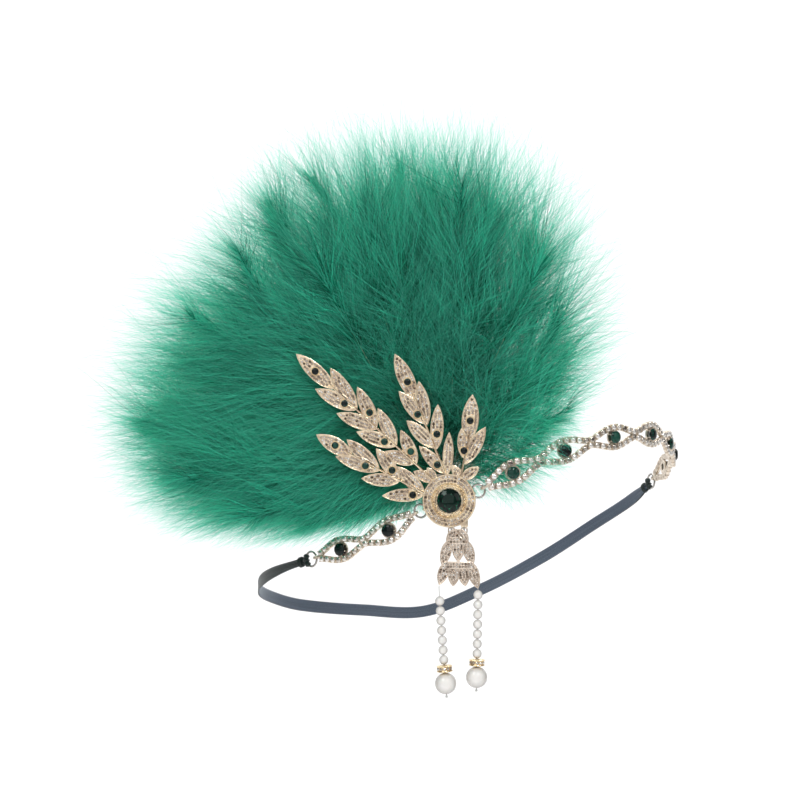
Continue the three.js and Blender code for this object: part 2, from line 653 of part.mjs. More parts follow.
// One openwork chain from arc length "start", travelling in "direction" (1 or -1)
function makeChain(side, start, direction) {
  const lobes = LOBES[side];
  const firstRow = start + direction * LUG_REACH;
  const end = firstRow + direction * (lobes * LOBE_PITCH + LUG_REACH);
  const parts = [1, -1].map((row) => rowOfStones(row, firstRow, direction, lobes));
  const seatRadius = CHAIN_STONE_RADIUS + STONE_GAP + CHAIN_SEAT_LAP;
  const floor = -ROW_THICKNESS / 2;
  for (let lobe = 0; lobe < lobes; lobe++) {
    const here = along(firstRow + direction * (lobe + 0.5) * LOBE_PITCH);
    const place = placed(here.across.clone().cross(here.out), here.across, here.point);
    parts.push(solidOf(disc(seatRadius, floor, floor + CHAIN_SEAT_THICKNESS, 12), place));
    const low = floor + CHAIN_SEAT_THICKNESS + STONE_GAP;
    const stone = cutStone(CHAIN_STONE_RADIUS, low, CHAIN_STONE_HEIGHT * 0.55, CHAIN_STONE_HEIGHT * 0.45, 8);
    addNode(`chain_stone_${side}_${lobe + 1}`, stone, DARK_STONE, headband, place);
  }
  for (const [at, facing] of [[start, direction], [end, -direction]]) {
    const here = along(at);
    const foot = here.travel.clone().multiplyScalar(facing);
    const place = placed(foot, here.across.clone().cross(foot), here.point);
    parts.push(lugSolid(LUG_REACH + ROW_WIDTH * 0.6, place));
  }
  addNode(`chain_${side}`, geometryOf(joined(parts)), METAL, headband);
  return end;
}

// A chain with the ring that ties it to the brooch and the one that ties it to the ribbon
function makeSide(side) {
  const direction = DIRECTIONS[side];
  const { start, middle, axis } = broochTie(side);
  addRing(`brooch_ring_${side}`, middle, axis, RING_RADIUS, WIRE_RADIUS, headband);
  const end = makeChain(side, start, direction);
  const tie = along(end + direction * RIBBON_RING_RADIUS);
  addRing(`ribbon_ring_${side}`, tie.point, tie.out, RIBBON_RING_RADIUS, WIRE_RADIUS, headband);
  return end + direction * 2 * RIBBON_RING_RADIUS;
}

// A sleeve of ribbon wound round the far side of a ribbon ring
function knotRods(length, direction) {
  const centre = along(length - direction * RIBBON_RING_RADIUS);
  const outward = centre.travel.clone().multiplyScalar(direction);
  const arc = (span) => [-1, -0.5, 0, 0.5, 1].map((share) => centre.point.clone()
    .addScaledVector(outward, RIBBON_RING_RADIUS * Math.cos(share * span * DEG))
    .addScaledVector(centre.across, RIBBON_RING_RADIUS * Math.sin(share * span * DEG)));
  return {
    body: solidOf(rod(arc(KNOT_SPAN), KNOT_RADIUS, 4, 8)),
    bore: solidOf(rod(arc(KNOT_SPAN * 1.4), WIRE_RADIUS + WIRE_GAP, 4, 6)),
  };
}

function gatherAt(place) {
  const last = RIBBON_GATHERS.length - 1;
  if (place >= RIBBON_GATHERS[last].place) return RIBBON_GATHERS[last];
  let i = 0;
  while (RIBBON_GATHERS[i + 1].place < place) i++;
  const [a, b] = [RIBBON_GATHERS[i], RIBBON_GATHERS[i + 1]];
  const share = (place - a.place) / (b.place - a.place);
  return {
    width: a.width + share * (b.width - a.width),
    thickness: a.thickness + share * (b.thickness - a.thickness),
  };
}

// The ribbon from the right ring round the back to the left ring
function makeRibbon(rightEnd, leftEnd) {
  const length = leftEnd + ROUTE_LENGTH - rightEnd;
  const steps = Math.round(length / RIBBON_STEP);
  const inset = WIRE_RADIUS + WIRE_GAP * 2;
  const rings = [];
  for (let i = 0; i <= steps; i++) {
    const place = inset + (length - 2 * inset) * i / steps;
    const here = along(rightEnd + place);
    const shape = gatherAt(Math.min(place * RIBBON_RIGHT_GATHER, length - place));
    const half = shape.width * RIBBON_WIDTH / 2;
    const thin = shape.thickness * RIBBON_THICKNESS / 2;
    const corner = (w, t) => here.point.clone().addScaledVector(here.across, w).addScaledVector(here.out, t);
    rings.push([corner(-half, -thin), corner(half, -thin), corner(half, thin), corner(-half, thin)]);
  }
  const knots = [knotRods(rightEnd, 1), knotRods(leftEnd, -1)];
  let ribbon = joined([solidOf(loft(rings)), ...knots.map((knot) => knot.body)]);
  for (const knot of knots) ribbon = ribbon.subtract(knot.bore);
  addNode("ribbon", geometryOf(ribbon), RIBBON, headband);
}

// The drop: a leaf plate hung on two rings straight under the halo's eyes
function makeDrop() {
  const bodyTop = -HALO_RADIUS - DROP_TOP_GAP;
  const scaled = ([x, y]) => v3(dropMiddle + x * DROP_WIDTH, bodyTop - y * DROP_LENGTH, 0);
  const back = hingeDepth - DROP_THICKNESS / 2;
  const parts = DROP_LEAVES.map((leaf, i) => {
    const base = scaled(leaf.base);
    const tip = scaled(leaf.tip);
    const turn = Math.atan2(tip.y - base.y, tip.x - base.x);
    const place = new THREE.Matrix4().makeRotationZ(turn).setPosition(base.x, base.y, back + LEAF_LAYER * (i % 2));
    const size = {
      length: base.distanceTo(tip), width: leaf.width * DROP_WIDTH,
      base: DROP_THICKNESS, rim: DROP_RIM, rimHeight: LEAF_RIM_HEIGHT,
    };
    return leafSolid(size, place);
  });
  for (const bar of DROP_BARS) {
    const [from, to] = [scaled(bar.from), scaled(bar.to)].map((p) => p.setZ(back - LEAF_LAYER));
    parts.push(barSolid(from, to, DROP_BAR_WIDTH, DROP_THICKNESS));
  }
  for (const x of [HINGE_EYES.left, HINGE_EYES.right]) {
    parts.push(dropEye(x));
  }
  addNode("drop_plate", geometryOf(joined(parts)), METAL, brooch);
  for (const side of ["left", "right"]) {
    const centre = v3(HINGE_EYES[side], hingeHeight + hingeReach - DROP_RING_RADIUS, hingeDepth);
    addRing(`drop_ring_${side}`, centre, v3(1, 0, 0), DROP_RING_RADIUS, DROP_WIRE_RADIUS, brooch);
  }
  for (const leaf of DROP_LEAVES) {
    if (leaf.string) makeString(leaf.string, scaled(leaf.tip));
  }
}

// A bead drilled along y, round in section, "half" high from its middle
function beadGeometry({ radius, half, sides, arc }) {
  const start = Math.asin(BEAD_HOLE_RADIUS / radius);
  const points = [];
  for (let i = 0; i <= arc; i++) {
    const turn = start + (Math.PI - 2 * start) * i / arc;
    points.push(new THREE.Vector2(radius * Math.sin(turn), -half * Math.cos(turn) / Math.cos(start)));
  }
  points.push(points[0].clone());
  return new THREE.LatheGeometry(points, sides);
}

// A pearl string under the tip of one of the drop's leaves
function makeString(side, tip) {
  const { free, sway } = STRINGS[side];
  const pearl = { radius: PEARL_RADIUS, half: PEARL_RADIUS, pitch: PEARL_PITCH, sides: 10, arc: 5, material: PEARL };
  const rondelle = { radius: RONDELLE_RADIUS, half: RONDELLE_THICKNESS / 2, sides: 12, arc: 4, material: METAL };
  const large = { radius: LARGE_PEARL_RADIUS, half: LARGE_PEARL_RADIUS, sides: 14, arc: 7, material: PEARL };
  const beads = [
    ...Array.from({ length: PEARLS_PER_STRING }, (_, i) => ({ ...pearl, name: `pearl_${side}_${i + 1}` })),
    { ...rondelle, name: `rondelle_${side}`, pitch: 2 * rondelle.half + BEAD_GAP },
    { ...large, name: `large_pearl_${side}`, pitch: 2 * large.half + BEAD_GAP },
  ];
  const whole = beads.reduce((sum, bead) => sum + bead.pitch, free);
  const point = (depth) => v3(tip.x + sway * (Math.max(depth, 0) / whole) ** 1.2, tip.y - depth, hingeDepth);
  let down = free;
  for (const bead of beads) {
    const middle = down + bead.pitch / 2;
    const up = point(middle - 0.5).sub(point(middle + 0.5));
    addNode(bead.name, beadGeometry(bead), bead.material, brooch, placed(v3(up.y, -up.x, 0), up, point(middle)));
    down += bead.pitch;
  }
  const tail = down + BEAD_HOLE_RADIUS * 2;
  const points = Array.from({ length: 7 }, (_, i) => point(STRING_START + (tail - STRING_START) * i / 6));
  const knot = new THREE.SphereGeometry(BEAD_HOLE_RADIUS * 1.6, 6, 4);
  const thread = solidOf(rod(points, THREAD_RADIUS, 8, 6)).add(solidOf(knot.translate(...point(tail).toArray())));
  addNode(`thread_${side}`, geometryOf(thread), THREAD, brooch);
}

// A lock of barbs: a spindle through points, with a radius at each
function lockSolid(points, radii) {
  const rings = points.map((point, i) => {
    const before = points[Math.max(0, i - 1)];
    const after = points[Math.min(points.length - 1, i + 1)];
    const ahead = after.clone().sub(before).normalize();
    const side = ahead.clone().cross(UP).normalize();
    const top = side.clone().cross(ahead);
    return Array.from({ length: LOCK_SIDES }, (_, k) => {
      const turn = 360 * DEG * k / LOCK_SIDES;
      return point.clone()
        .addScaledVector(side, radii[i] * Math.cos(turn))
        .addScaledVector(top, radii[i] * Math.sin(turn) * LOCK_FLATNESS);
    });
  });
  return solidOf(loft(rings));
}

// The clip behind the halo, and the plume that it holds
function makePlume() {
  const clipBack = -LEAF_LAYER - STONE_GAP - CLIP_SIZE.thickness;
  const clip = new THREE.BoxGeometry(CLIP_SIZE.width, CLIP_SIZE.height, CLIP_SIZE.thickness);
  clip.translate(0, CLIP_RISE, clipBack + CLIP_SIZE.thickness / 2);
  addNode("plume_clip", clip, SILVER, brooch);

  const root = v3(0, CLIP_RISE, clipBack - STONE_GAP - PLUME_HEAD_RADIUS);
  const head = new THREE.CylinderGeometry(PLUME_HEAD_RADIUS, PLUME_HEAD_RADIUS, CLIP_SIZE.height, 8);
  const parts = [solidOf(head.translate(root.x, root.y, root.z))];
  for (const feather of FEATHERS) {
    const turn = feather.heading * DEG;
    const reach = feather.reach * PLUME_REACH;
    const ahead = v3(Math.cos(turn), Math.sin(turn), 0);
    const aside = v3(-Math.sin(turn), Math.cos(turn), 0);
    const onQuill = (t) => root.clone()
      .addScaledVector(ahead, reach * t)
      .addScaledVector(aside, feather.bow * reach * 4 * t * (1 - t))
      .add(v3(0, -feather.sag * reach * t * t, -reach * (feather.lean * t * t + PLUME_HOLLOW * Math.sin(180 * DEG * t))));
    parts.push(lockSolid(VANE.map((row) => onQuill(row.place)), VANE.map((row) => row.radius * LOCK_RADIUS)));
    for (const lock of SIDE_LOCKS) {
      for (const side of [1, -1]) {
        const length = LOCK_LENGTH * lock.length * feather.lock;
        const out = ahead.clone().applyAxisAngle(UP, lock.splay * side * DEG);
        const onLock = (t) => onQuill(lock.place)
          .addScaledVector(out, length * t)
          .add(v3(0, -0.08 * length * t * t, lock.lift * side * length * t));
        parts.push(lockSolid([0, 0.6, 1].map(onLock), [0.5, 0.85, 0.25].map((share) => share * LOCK_RADIUS)));
      }
    }
  }
  addNode("plume", geometryOf(joined(parts)), FEATHER, brooch);
}

makeSpray();
makeDrop();
makeRibbon(makeSide("right"), makeSide("left"));
makePlume();

export default headband;
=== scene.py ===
"""Dresses a flapper feather headband over its CAD frame: brooch, drop, chains, ribbon and plume.

Sizes are in millimetres in the frame of the part, and a piece's mesh is written in metres.
"""
from __future__ import annotations

import json
import logging
import math
from dataclasses import dataclass, field
from enum import Enum
from typing import Callable, Iterable, Sequence

import bmesh
import bpy
import numpy as np
from mathutils import Matrix, Vector

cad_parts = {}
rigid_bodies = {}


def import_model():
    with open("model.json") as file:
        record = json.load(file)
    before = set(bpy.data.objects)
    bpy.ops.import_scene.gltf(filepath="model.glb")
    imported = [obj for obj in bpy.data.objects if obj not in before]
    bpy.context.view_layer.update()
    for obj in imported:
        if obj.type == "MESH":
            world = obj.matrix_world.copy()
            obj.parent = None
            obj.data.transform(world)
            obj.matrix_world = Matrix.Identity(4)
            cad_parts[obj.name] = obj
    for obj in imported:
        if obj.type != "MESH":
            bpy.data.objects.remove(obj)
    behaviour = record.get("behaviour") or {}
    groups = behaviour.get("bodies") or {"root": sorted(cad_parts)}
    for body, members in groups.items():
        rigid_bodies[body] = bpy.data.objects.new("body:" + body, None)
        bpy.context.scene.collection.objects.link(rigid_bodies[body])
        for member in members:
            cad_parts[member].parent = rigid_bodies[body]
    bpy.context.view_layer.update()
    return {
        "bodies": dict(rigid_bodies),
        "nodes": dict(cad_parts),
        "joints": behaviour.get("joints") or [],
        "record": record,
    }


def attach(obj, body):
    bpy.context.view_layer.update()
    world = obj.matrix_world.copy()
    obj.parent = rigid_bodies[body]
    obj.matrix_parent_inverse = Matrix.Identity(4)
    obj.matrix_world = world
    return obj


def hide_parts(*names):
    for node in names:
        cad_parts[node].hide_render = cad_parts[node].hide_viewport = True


MM = 0.001
UP = Vector((0.0, 0.0, 1.0))
FULL_TURN = 2.0 * math.pi
SMOOTH_BELOW = math.radians(38)
LOG = logging.getLogger("headband")

Bmesh = bmesh.types.BMesh
Face = bmesh.types.BMFace
Edge = bmesh.types.BMEdge
Vert = bmesh.types.BMVert
Mesh = bpy.types.Mesh
Object = bpy.types.Object
Material = bpy.types.Material
NodeTree = bpy.types.NodeTree
Socket = bpy.types.NodeSocket
Colour = tuple[float, float, float, float]


class Body(str, Enum):
    """The rigid bodies that pieces ride on."""

    HEADBAND = "headband"
    DROP = "drop"


class Slot(str, Enum):
    """The record's material slots."""

    CAST = "cast_gold"
    WIRE = "silver_wire"
    GREEN = "green_stone"
    DARK = "dark_stone"
    PEARL = "pearl"
    THREAD = "thread"
    RIBBON = "ribbon"
    FEATHER = "feather"


class Side(Enum):
    """A side of the brooch, with the way its chain travels round the loop."""

    LEFT = -1
    RIGHT = 1

    @property
    def label(self) -> str:
        """The side's name in piece names."""
        return self.name.lower()


# Places


def placed(x: Vector, y: Vector, at: Vector) -> Matrix:
    """A right-handed place.

    Args:
        x: Its x direction.
        y: A direction near its y direction.
        at: Its origin.

    Returns:
        The place as a matrix.
    """
    x = x.normalized()
    z = x.cross(y).normalized()
    y = z.cross(x)
    basis = Matrix((x, y, z)).transposed().to_4x4()
    return Matrix.Translation(at) @ basis


def moved(x: float = 0.0, y: float = 0.0, z: float = 0.0) -> Matrix:
    """A shift."""
    return Matrix.Translation((x, y, z))


def turned(degrees: float, axis: str = "Z") -> Matrix:
    """A turn about an axis."""
    return Matrix.Rotation(math.radians(degrees), 4, axis)


def sized(x: float, y: float | None = None, z: float | None = None) -> Matrix:
    """A scaling, the same along each axis unless more are given."""
    return Matrix.Diagonal((x, x if y is None else y, x if z is None else z, 1.0))


@dataclass
class Station:
    """A place on the loop: where, the way along, the way out and the way across the band."""

    point: Vector
    travel: Vector
    out: Vector
    across: Vector


@dataclass
class LoopRoute:
    """The closed line round the head that the chains and the ribbon follow."""

    length: float = 187.0
    width: float = 168.0
    rise: float = 47.0
    start: float = -5.6
    steps: int = 720
    rows: tuple[tuple[float, float, float], ...] = (
        (-60, 1, -0.24), (-42, 1, -0.09), (-24, 1, 0.113), (-12, 1, 0.351), (0, 1, 0.49),
        (12, 1.006, 0.69), (24, 1.025, 0.861), (36, 1.048, 0.972), (48, 1.052, 1.013),
        (60, 1.035, 0.983), (72, 1.01, 0.893), (84, 1, 0.81), (96, 1, 0.73), (108, 1, 0.586),
        (120, 1, 0.374), (138, 1, 0.067), (156, 1, -0.296), (174, 1, -0.625), (191, 1, -0.85),
        (210, 1, -0.822), (234, 1, -0.733), (252, 1, -0.612), (270, 1, -0.485),
    )

    def __post_init__(self) -> None:
        """Measures the loop by its arc length."""
        self.azimuths = [self.start + 360.0 * i / self.steps for i in range(self.steps + 1)]
        points = [self.point(azimuth) for azimuth in self.azimuths]
        lengths = [0.0]
        for before, after in zip(points, points[1:]):
            lengths.append(lengths[-1] + (after - before).length)
        self.lengths = np.array(lengths)
        self.whole = lengths[-1]

    def value(self, column: int, azimuth: float) -> float:
        """A column of the rows at an azimuth, on a smooth closed curve.

        Args:
            column: 1 for reach, 2 for rise.
            azimuth: In degrees from the front.

        Returns:
            The column's value there.
        """
        count = len(self.rows)

        def row(i: int) -> tuple[float, float]:
            """A row's azimuth and value, counted on round the loop."""
            lap, index = divmod(i, count)
            return self.rows[index][0] + 360.0 * lap, self.rows[index][column]

        first = self.rows[0][0]
        turn = azimuth - 360.0 * math.floor((azimuth - first) / 360.0)
        i = 0
        while row(i + 1)[0] <= turn:
            i += 1
        before, here, ahead, after = row(i - 1), row(i), row(i + 1), row(i + 2)
        span = ahead[0] - here[0]
        slope_in = (ahead[1] - before[1]) / (ahead[0] - before[0])
        slope_out = (after[1] - here[1]) / (after[0] - here[0])
        t = (turn - here[0]) / span
        return (
            (2 * t**3 - 3 * t**2 + 1) * here[1]
            + (t**3 - 2 * t**2 + t) * span * slope_in
            + (3 * t**2 - 2 * t**3) * ahead[1]
            + (t**3 - t**2) * span * slope_out
        )

    def point(self, azimuth: float) -> Vector:
        """The loop's point at an azimuth."""
        reach = self.value(1, azimuth)
        angle = math.radians(azimuth)
        return Vector((
            reach * self.length / 2 * math.sin(angle),
            -reach * self.width / 2 * math.cos(angle),
            self.rise * self.value(2, azimuth),
        ))

    def along(self, length: float) -> Station:
        """The station at an arc length past the brooch."""
        wrapped = length % self.whole
        azimuth = float(np.interp(wrapped, self.lengths, self.azimuths))
        travel = (self.point(azimuth + 0.5) - self.point(azimuth - 0.5)).normalized()
        out = travel.cross(UP).normalized()
        return Station(self.point(azimuth), travel, out, out.cross(travel).normalized())

    def length_at(self, origin: Vector, distance: float, start: float, way: int) -> float:
        """The arc length past "start" where the loop is some distance from a point.

        Args:
            origin: The point.
            distance: How far the loop is from it.
            start: The arc length to start from.
            way: 1 or -1, the way to look.

        Returns:
            The arc length.
        """
        near, far = start, start + way * 3 * distance
        for _ in range(40):
            middle = (near + far) / 2
            if (self.along(middle).point - origin).length < distance:
                near = middle
            else:
                far = middle
        return near


# Shapes


@dataclass
class Shape:
    """A finished small mesh that can be laid down many times."""

    points: np.ndarray
    corners: np.ndarray
    sizes: np.ndarray

    @classmethod
    def of(cls, bm: Bmesh) -> "Shape":
        """Takes a mesh over from bmesh and frees it."""
        bm.verts.index_update()
        points = np.array([v.co for v in bm.verts], float)
        corners = np.array([v.index for f in bm.faces for v in f.verts], int)
        sizes = np.array([len(f.verts) for f in bm.faces], int)
        bm.free()
        return cls(points, corners, sizes)


def closed(bm: Bmesh, merge: float = 1e-4) -> Bmesh:
    """Merges doubles, fills open ends and turns the faces outwards."""
    bmesh.ops.remove_doubles(bm, verts=bm.verts[:], dist=merge)
    open_edges = [e for e in bm.edges if e.is_boundary]
    if open_edges:
        bmesh.ops.holes_fill(bm, edges=open_edges, sides=0)
    bmesh.ops.recalc_face_normals(bm, faces=bm.faces[:])
    return bm


def rounded(bm: Bmesh, edges: Sequence, offset: float, segments: int = 2) -> None:
    """Rounds some edges."""
    bmesh.ops.bevel(
        bm, geom=list(edges), offset=offset, offset_type="OFFSET", affect="EDGES",
        segments=segments, profile=0.5, material=-1, clamp_overlap=True,
    )


def lifted(bm: Bmesh, cap: Face, move: Matrix) -> Face:
    """Extrudes a cap and moves the new one.

    Args:
        bm: The mesh.
        cap: The face to extrude.
        move: What the new cap's corners go through.

    Returns:
        The new cap.
    """
    made = bmesh.ops.extrude_face_region(bm, geom=[cap])["geom"]
    face = next(part for part in made if isinstance(part, Face))
    bmesh.ops.transform(bm, matrix=move, verts=list(face.verts))
    return face


def stacked(sides: int, tiers: Sequence[tuple[float, float, float]]) -> Bmesh:
    """A solid through tiers of a regular polygon, faceted where a tier is turned.

    Args:
        sides: The polygon's sides.
        tiers: Radius, height and turn in degrees, from the bottom up.

    Returns:
        The mesh.
    """
    bm = bmesh.new()
    places = [moved(z=height) @ turned(turn) @ sized(radius, radius, 1.0) for radius, height, turn in tiers]
    bmesh.ops.create_circle(bm, cap_ends=True, radius=1.0, segments=sides, matrix=places[0])
    cap = bm.faces[:][0]
    for below, above in zip(places, places[1:]):
        cap = lifted(bm, cap, above @ below.inverted())
    closed(bm)
    bmesh.ops.triangulate(bm, faces=[f for f in bm.faces if len(f.verts) == 4])
    return bm


def lathed(profile: Sequence[tuple[float, float]], steps: int, loop: bool = False) -> Bmesh:
    """A body of revolution about Z.

    Args:
        profile: Radius and height of each point.
        steps: Steps round the axis.
        loop: Whether the last point joins the first.

    Returns:
        The mesh.
    """
    bm = bmesh.new()
    points = [bm.verts.new((radius, 0.0, height)) for radius, height in profile]
    pairs = list(zip(points, points[1:])) + ([(points[-1], points[0])] if loop else [])
    edges = [bm.edges.new(pair) for pair in pairs]
    bmesh.ops.spin(
        bm, geom=points + edges, cent=(0, 0, 0), axis=(0, 0, 1), dvec=(0, 0, 0),
        angle=FULL_TURN, steps=steps, use_merge=True, use_duplicate=False,
    )
    return closed(bm)


def ring_shape(radius: float, wire: float, steps: int = 40, sides: int = 10) -> Bmesh:
    """A wire ring about Z."""
    circle = [FULL_TURN * i / sides for i in range(sides)]
    return lathed([(radius + wire * math.cos(a), wire * math.sin(a)) for a in circle], steps, loop=True)


def swept(
    points: Sequence[Vector], radii: Sequence[float], sides: int, flat: float = 1.0,
    across: Vector | None = None,
) -> Bmesh:
    """A rod of round or oval section along points.

    Args:
        points: The middle line.
        radii: The radius at each point.
        sides: Sides of the section.
        flat: The section's second radius as a share of the first.
        across: The way its wider side lies, if it matters.

    Returns:
        The mesh, closed at both ends.
    """
    bm = bmesh.new()
    places = []
    lead = across or Vector((0.31, 0.17, 0.93))
    for i, point in enumerate(points):
        ahead = (points[min(i + 1, len(points) - 1)] - points[max(i - 1, 0)]).normalized()
        side = (lead - ahead * lead.dot(ahead)).normalized()
        lead = across or side
        place = placed(side, ahead.cross(side), point)
        places.append(place @ sized(radii[i], radii[i] * flat, 1.0))
    bmesh.ops.create_circle(bm, cap_ends=True, radius=1.0, segments=sides, matrix=places[0])
    cap = bm.faces[:][0]
    for before, after in zip(places, places[1:]):
        cap = lifted(bm, cap, after @ before.inverted())
    return closed(bm)


def hairpin(middle: float, reach: float, foot: float, crown: float, corner: float, soft: float) -> list:
    """A wire's U: from one foot, round the crown with its softened corners, to the other foot."""
    back = math.copysign(1.0, foot - crown)
    near = [
        (reach, foot), (reach, crown + back * corner), (reach - soft, crown + back * soft),
        (reach - corner, crown),
    ]
    return [(middle - x, y) for x, y in near] + [(middle + x, y) for x, y in reversed(near)]


def block(size: Sequence[float], middle: Sequence[float], edge: float) -> Bmesh:
    """A block with rounded edges."""
    bm = bmesh.new()
    bmesh.ops.create_cube(bm, size=1.0, matrix=moved(*middle) @ sized(*size))
    rounded(bm, bm.edges[:], edge)
    return bm


def bead_shape(radius: float) -> Bmesh:
    """A small ball of metal."""
    bm = bmesh.new()
    bmesh.ops.create_icosphere(bm, subdivisions=1, radius=radius)
    return bm


# Pieces


class Pile:
    """Shapes gathered into one piece, each face with its finish and its own facet shade."""

    def __init__(self, name: str, seed: int, frame: Matrix | None = None) -> None:
        """Starts an empty pile.

        Args:
            name: The piece's name.
            seed: Seeds the facet shades.
            frame: The place that every shape's place is in.
        """
        self.name = name
        self.rng = np.random.default_rng(seed)
        self.frame = frame or Matrix.Identity(4)
        self.points: list[np.ndarray] = []
        self.corners: list[np.ndarray] = []
        self.sizes: list[np.ndarray] = []
        self.finish: list[np.ndarray] = []
        self.smooth: list[np.ndarray] = []
        self.facets: list[np.ndarray] = []
        self.count = 0

    def add(
        self, shape: Shape | Bmesh, places: Sequence[Matrix] | None = None,
        finish: int = 0, smooth: bool = True,
    ) -> None:
        """Lays a shape down at each place.

        Args:
            shape: The shape, in millimetres.
            places: Where its copies go, or one at the frame's origin.
            finish: The number of its finish in the piece.
            smooth: Whether its shallow edges are shaded smooth.
        """
        if not isinstance(shape, Shape):
            shape = Shape.of(shape)
        places = [Matrix.Identity(4)] if places is None else list(places)
        if not places:
            return
        grid = np.array([self.frame @ place for place in places], float)
        points = np.einsum("nij,pj->npi", grid[:, :3, :3], shape.points) + grid[:, None, :3, 3]
        copies, count, faces = len(places), len(shape.points), len(shape.sizes)
        start = self.count + count * np.arange(copies)[:, None]
        self.points.append(points.reshape(-1, 3))
        self.corners.append((shape.corners[None, :] + start).ravel())
        self.sizes.append(np.tile(shape.sizes, copies))
        self.finish.append(np.full(copies * faces, finish, np.int32))
        self.smooth.append(np.full(copies * faces, smooth))
        # Facet values pick each face's painted reflection: one value per stone mixed with one per face.
        whole = np.repeat(self.rng.random(copies), faces)
        self.facets.append(whole * 0.55 + self.rng.random(copies * faces) * 0.45)
        self.count += copies * count

    def piece(self, finishes: Sequence[Material]) -> Object:
        """Makes the piece.

        Args:
            finishes: Its materials, by number.

        Returns:
            The object, at the origin.
        """
        points, corners = np.concatenate(self.points), np.concatenate(self.corners)
        mesh = woven(self.name, points, corners, np.concatenate(self.sizes))
        mesh.polygons.foreach_set("material_index", np.concatenate(self.finish))
        mesh.polygons.foreach_set("use_smooth", np.concatenate(self.smooth))
        facet = mesh.attributes.new("facet", "FLOAT", "FACE")
        facet.data.foreach_set("value", np.concatenate(self.facets).astype(np.float32))
        mesh.set_sharp_from_angle(angle=SMOOTH_BELOW)
        for material in finishes:
            mesh.materials.append(material)
        return shown(self.name, mesh)


def woven(name: str, points: np.ndarray, corners: np.ndarray, sizes: np.ndarray) -> Mesh:
    """A mesh from arrays: its points in millimetres, its faces' corners and their numbers."""
    mesh = bpy.data.meshes.new(name)
    mesh.vertices.add(len(points))
    mesh.vertices.foreach_set("co", (points * MM).astype(np.float32).ravel())
    mesh.loops.add(len(corners))
    mesh.loops.foreach_set("vertex_index", corners.astype(np.int32))
    mesh.polygons.add(len(sizes))
    mesh.polygons.foreach_set("loop_start", (np.cumsum(sizes) - sizes).astype(np.int32))
    mesh.update(calc_edges=True)
    return mesh


def draped(bm: Bmesh, name: str, material: Material) -> Object:
    """Takes a smooth sheet over from bmesh, frees it and shows it."""
    mesh = bpy.data.meshes.new(name)
    for face in bm.faces:
        face.smooth = True
    bm.to_mesh(mesh)
    bm.free()
    mesh.transform(Matrix.Scale(MM, 4))
    mesh.materials.append(material)
    return shown(name, mesh)


def shown(name: str, mesh: Mesh) -> Object:
    """Puts a mesh in the scene."""
    piece = bpy.data.objects.new(name, mesh)
    bpy.context.scene.collection.objects.link(piece)
    return piece


def fitted(
    piece: Object, body: Body, slot: Slot | None = None, nodes: Iterable[str] = (),
) -> Object:
    """Ties a piece to its body, hides the CAD nodes it stands for, and reports it."""
    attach(piece, body.value)
    nodes = list(nodes)
    if nodes:
        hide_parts(*nodes)
    faces = len(piece.data.polygons) if piece.type == "MESH" else 0
    LOG.info("%s: %d faces on %s, for %s", piece.name, faces, body.value, nodes or "no node")
    return piece


# Finishes


class Wiring:
    """A node tree being wired."""

    def __init__(self, tree: NodeTree) -> None:
        """Takes the tree and clears it."""
        self.tree = tree
        tree.nodes.clear()

    def add(self, kind: str, feeds: dict | None = None, **settings: object) -> bpy.types.Node:
        """Adds a node.

        Args:
            kind: Its type.
            feeds: What goes into its sockets, a value or another node's socket.
            settings: Its own settings.

        Returns:
            The node.
        """
        node = self.tree.nodes.new(kind)
        for name, value in settings.items():
            setattr(node, name, value)
        for name, value in (feeds or {}).items():
            if isinstance(value, Socket):
                self.tree.links.new(value, node.inputs[name])
            else:
                node.inputs[name].default_value = value
        return node

    def mixed(self, share: object, first: object, second: object, how: str = "MIX") -> Socket:
        """Mixes two colours."""
        feeds = {0: share, 6: first, 7: second}
        return self.add("ShaderNodeMix", feeds, data_type="RGBA", blend_type=how).outputs[2]

    def sum(self, how: str, first: object, second: object, clamp: bool = False) -> Socket:
        """Works out one number from two."""
        return self.add("ShaderNodeMath", {0: first, 1: second}, operation=how, use_clamp=clamp).outputs[0]

    def ranged(self, value: object, low: float, high: float, to_low: float, to_high: float) -> Socket:
        """Maps a number from one range to another."""
        feeds = {"Value": value, "From Min": low, "From Max": high, "To Min": to_low, "To Max": to_high}
        return self.add("ShaderNodeMapRange", feeds).outputs["Result"]

    def noise(self, place: Socket, stretch: tuple, detail: float, scale: float = 1.0) -> Socket:
        """Noise on some coordinates, stretched first."""
        mapping = self.add("ShaderNodeMapping", {"Vector": place, "Scale": stretch})
        feeds = {"Vector": mapping.outputs["Vector"], "Scale": scale, "Detail": detail}
        return self.add("ShaderNodeTexNoise", feeds).outputs["Fac"]

    def object_noise(self, scale: float, detail: float) -> Socket:
        """Noise on the piece's own coordinates."""
        place = self.add("ShaderNodeTexCoord").outputs["Object"]
        return self.noise(place, (1, 1, 1), detail, scale)


def rgb(red: float, green: float, blue: float) -> Colour:
    """A linear colour."""
    return red, green, blue, 1.0


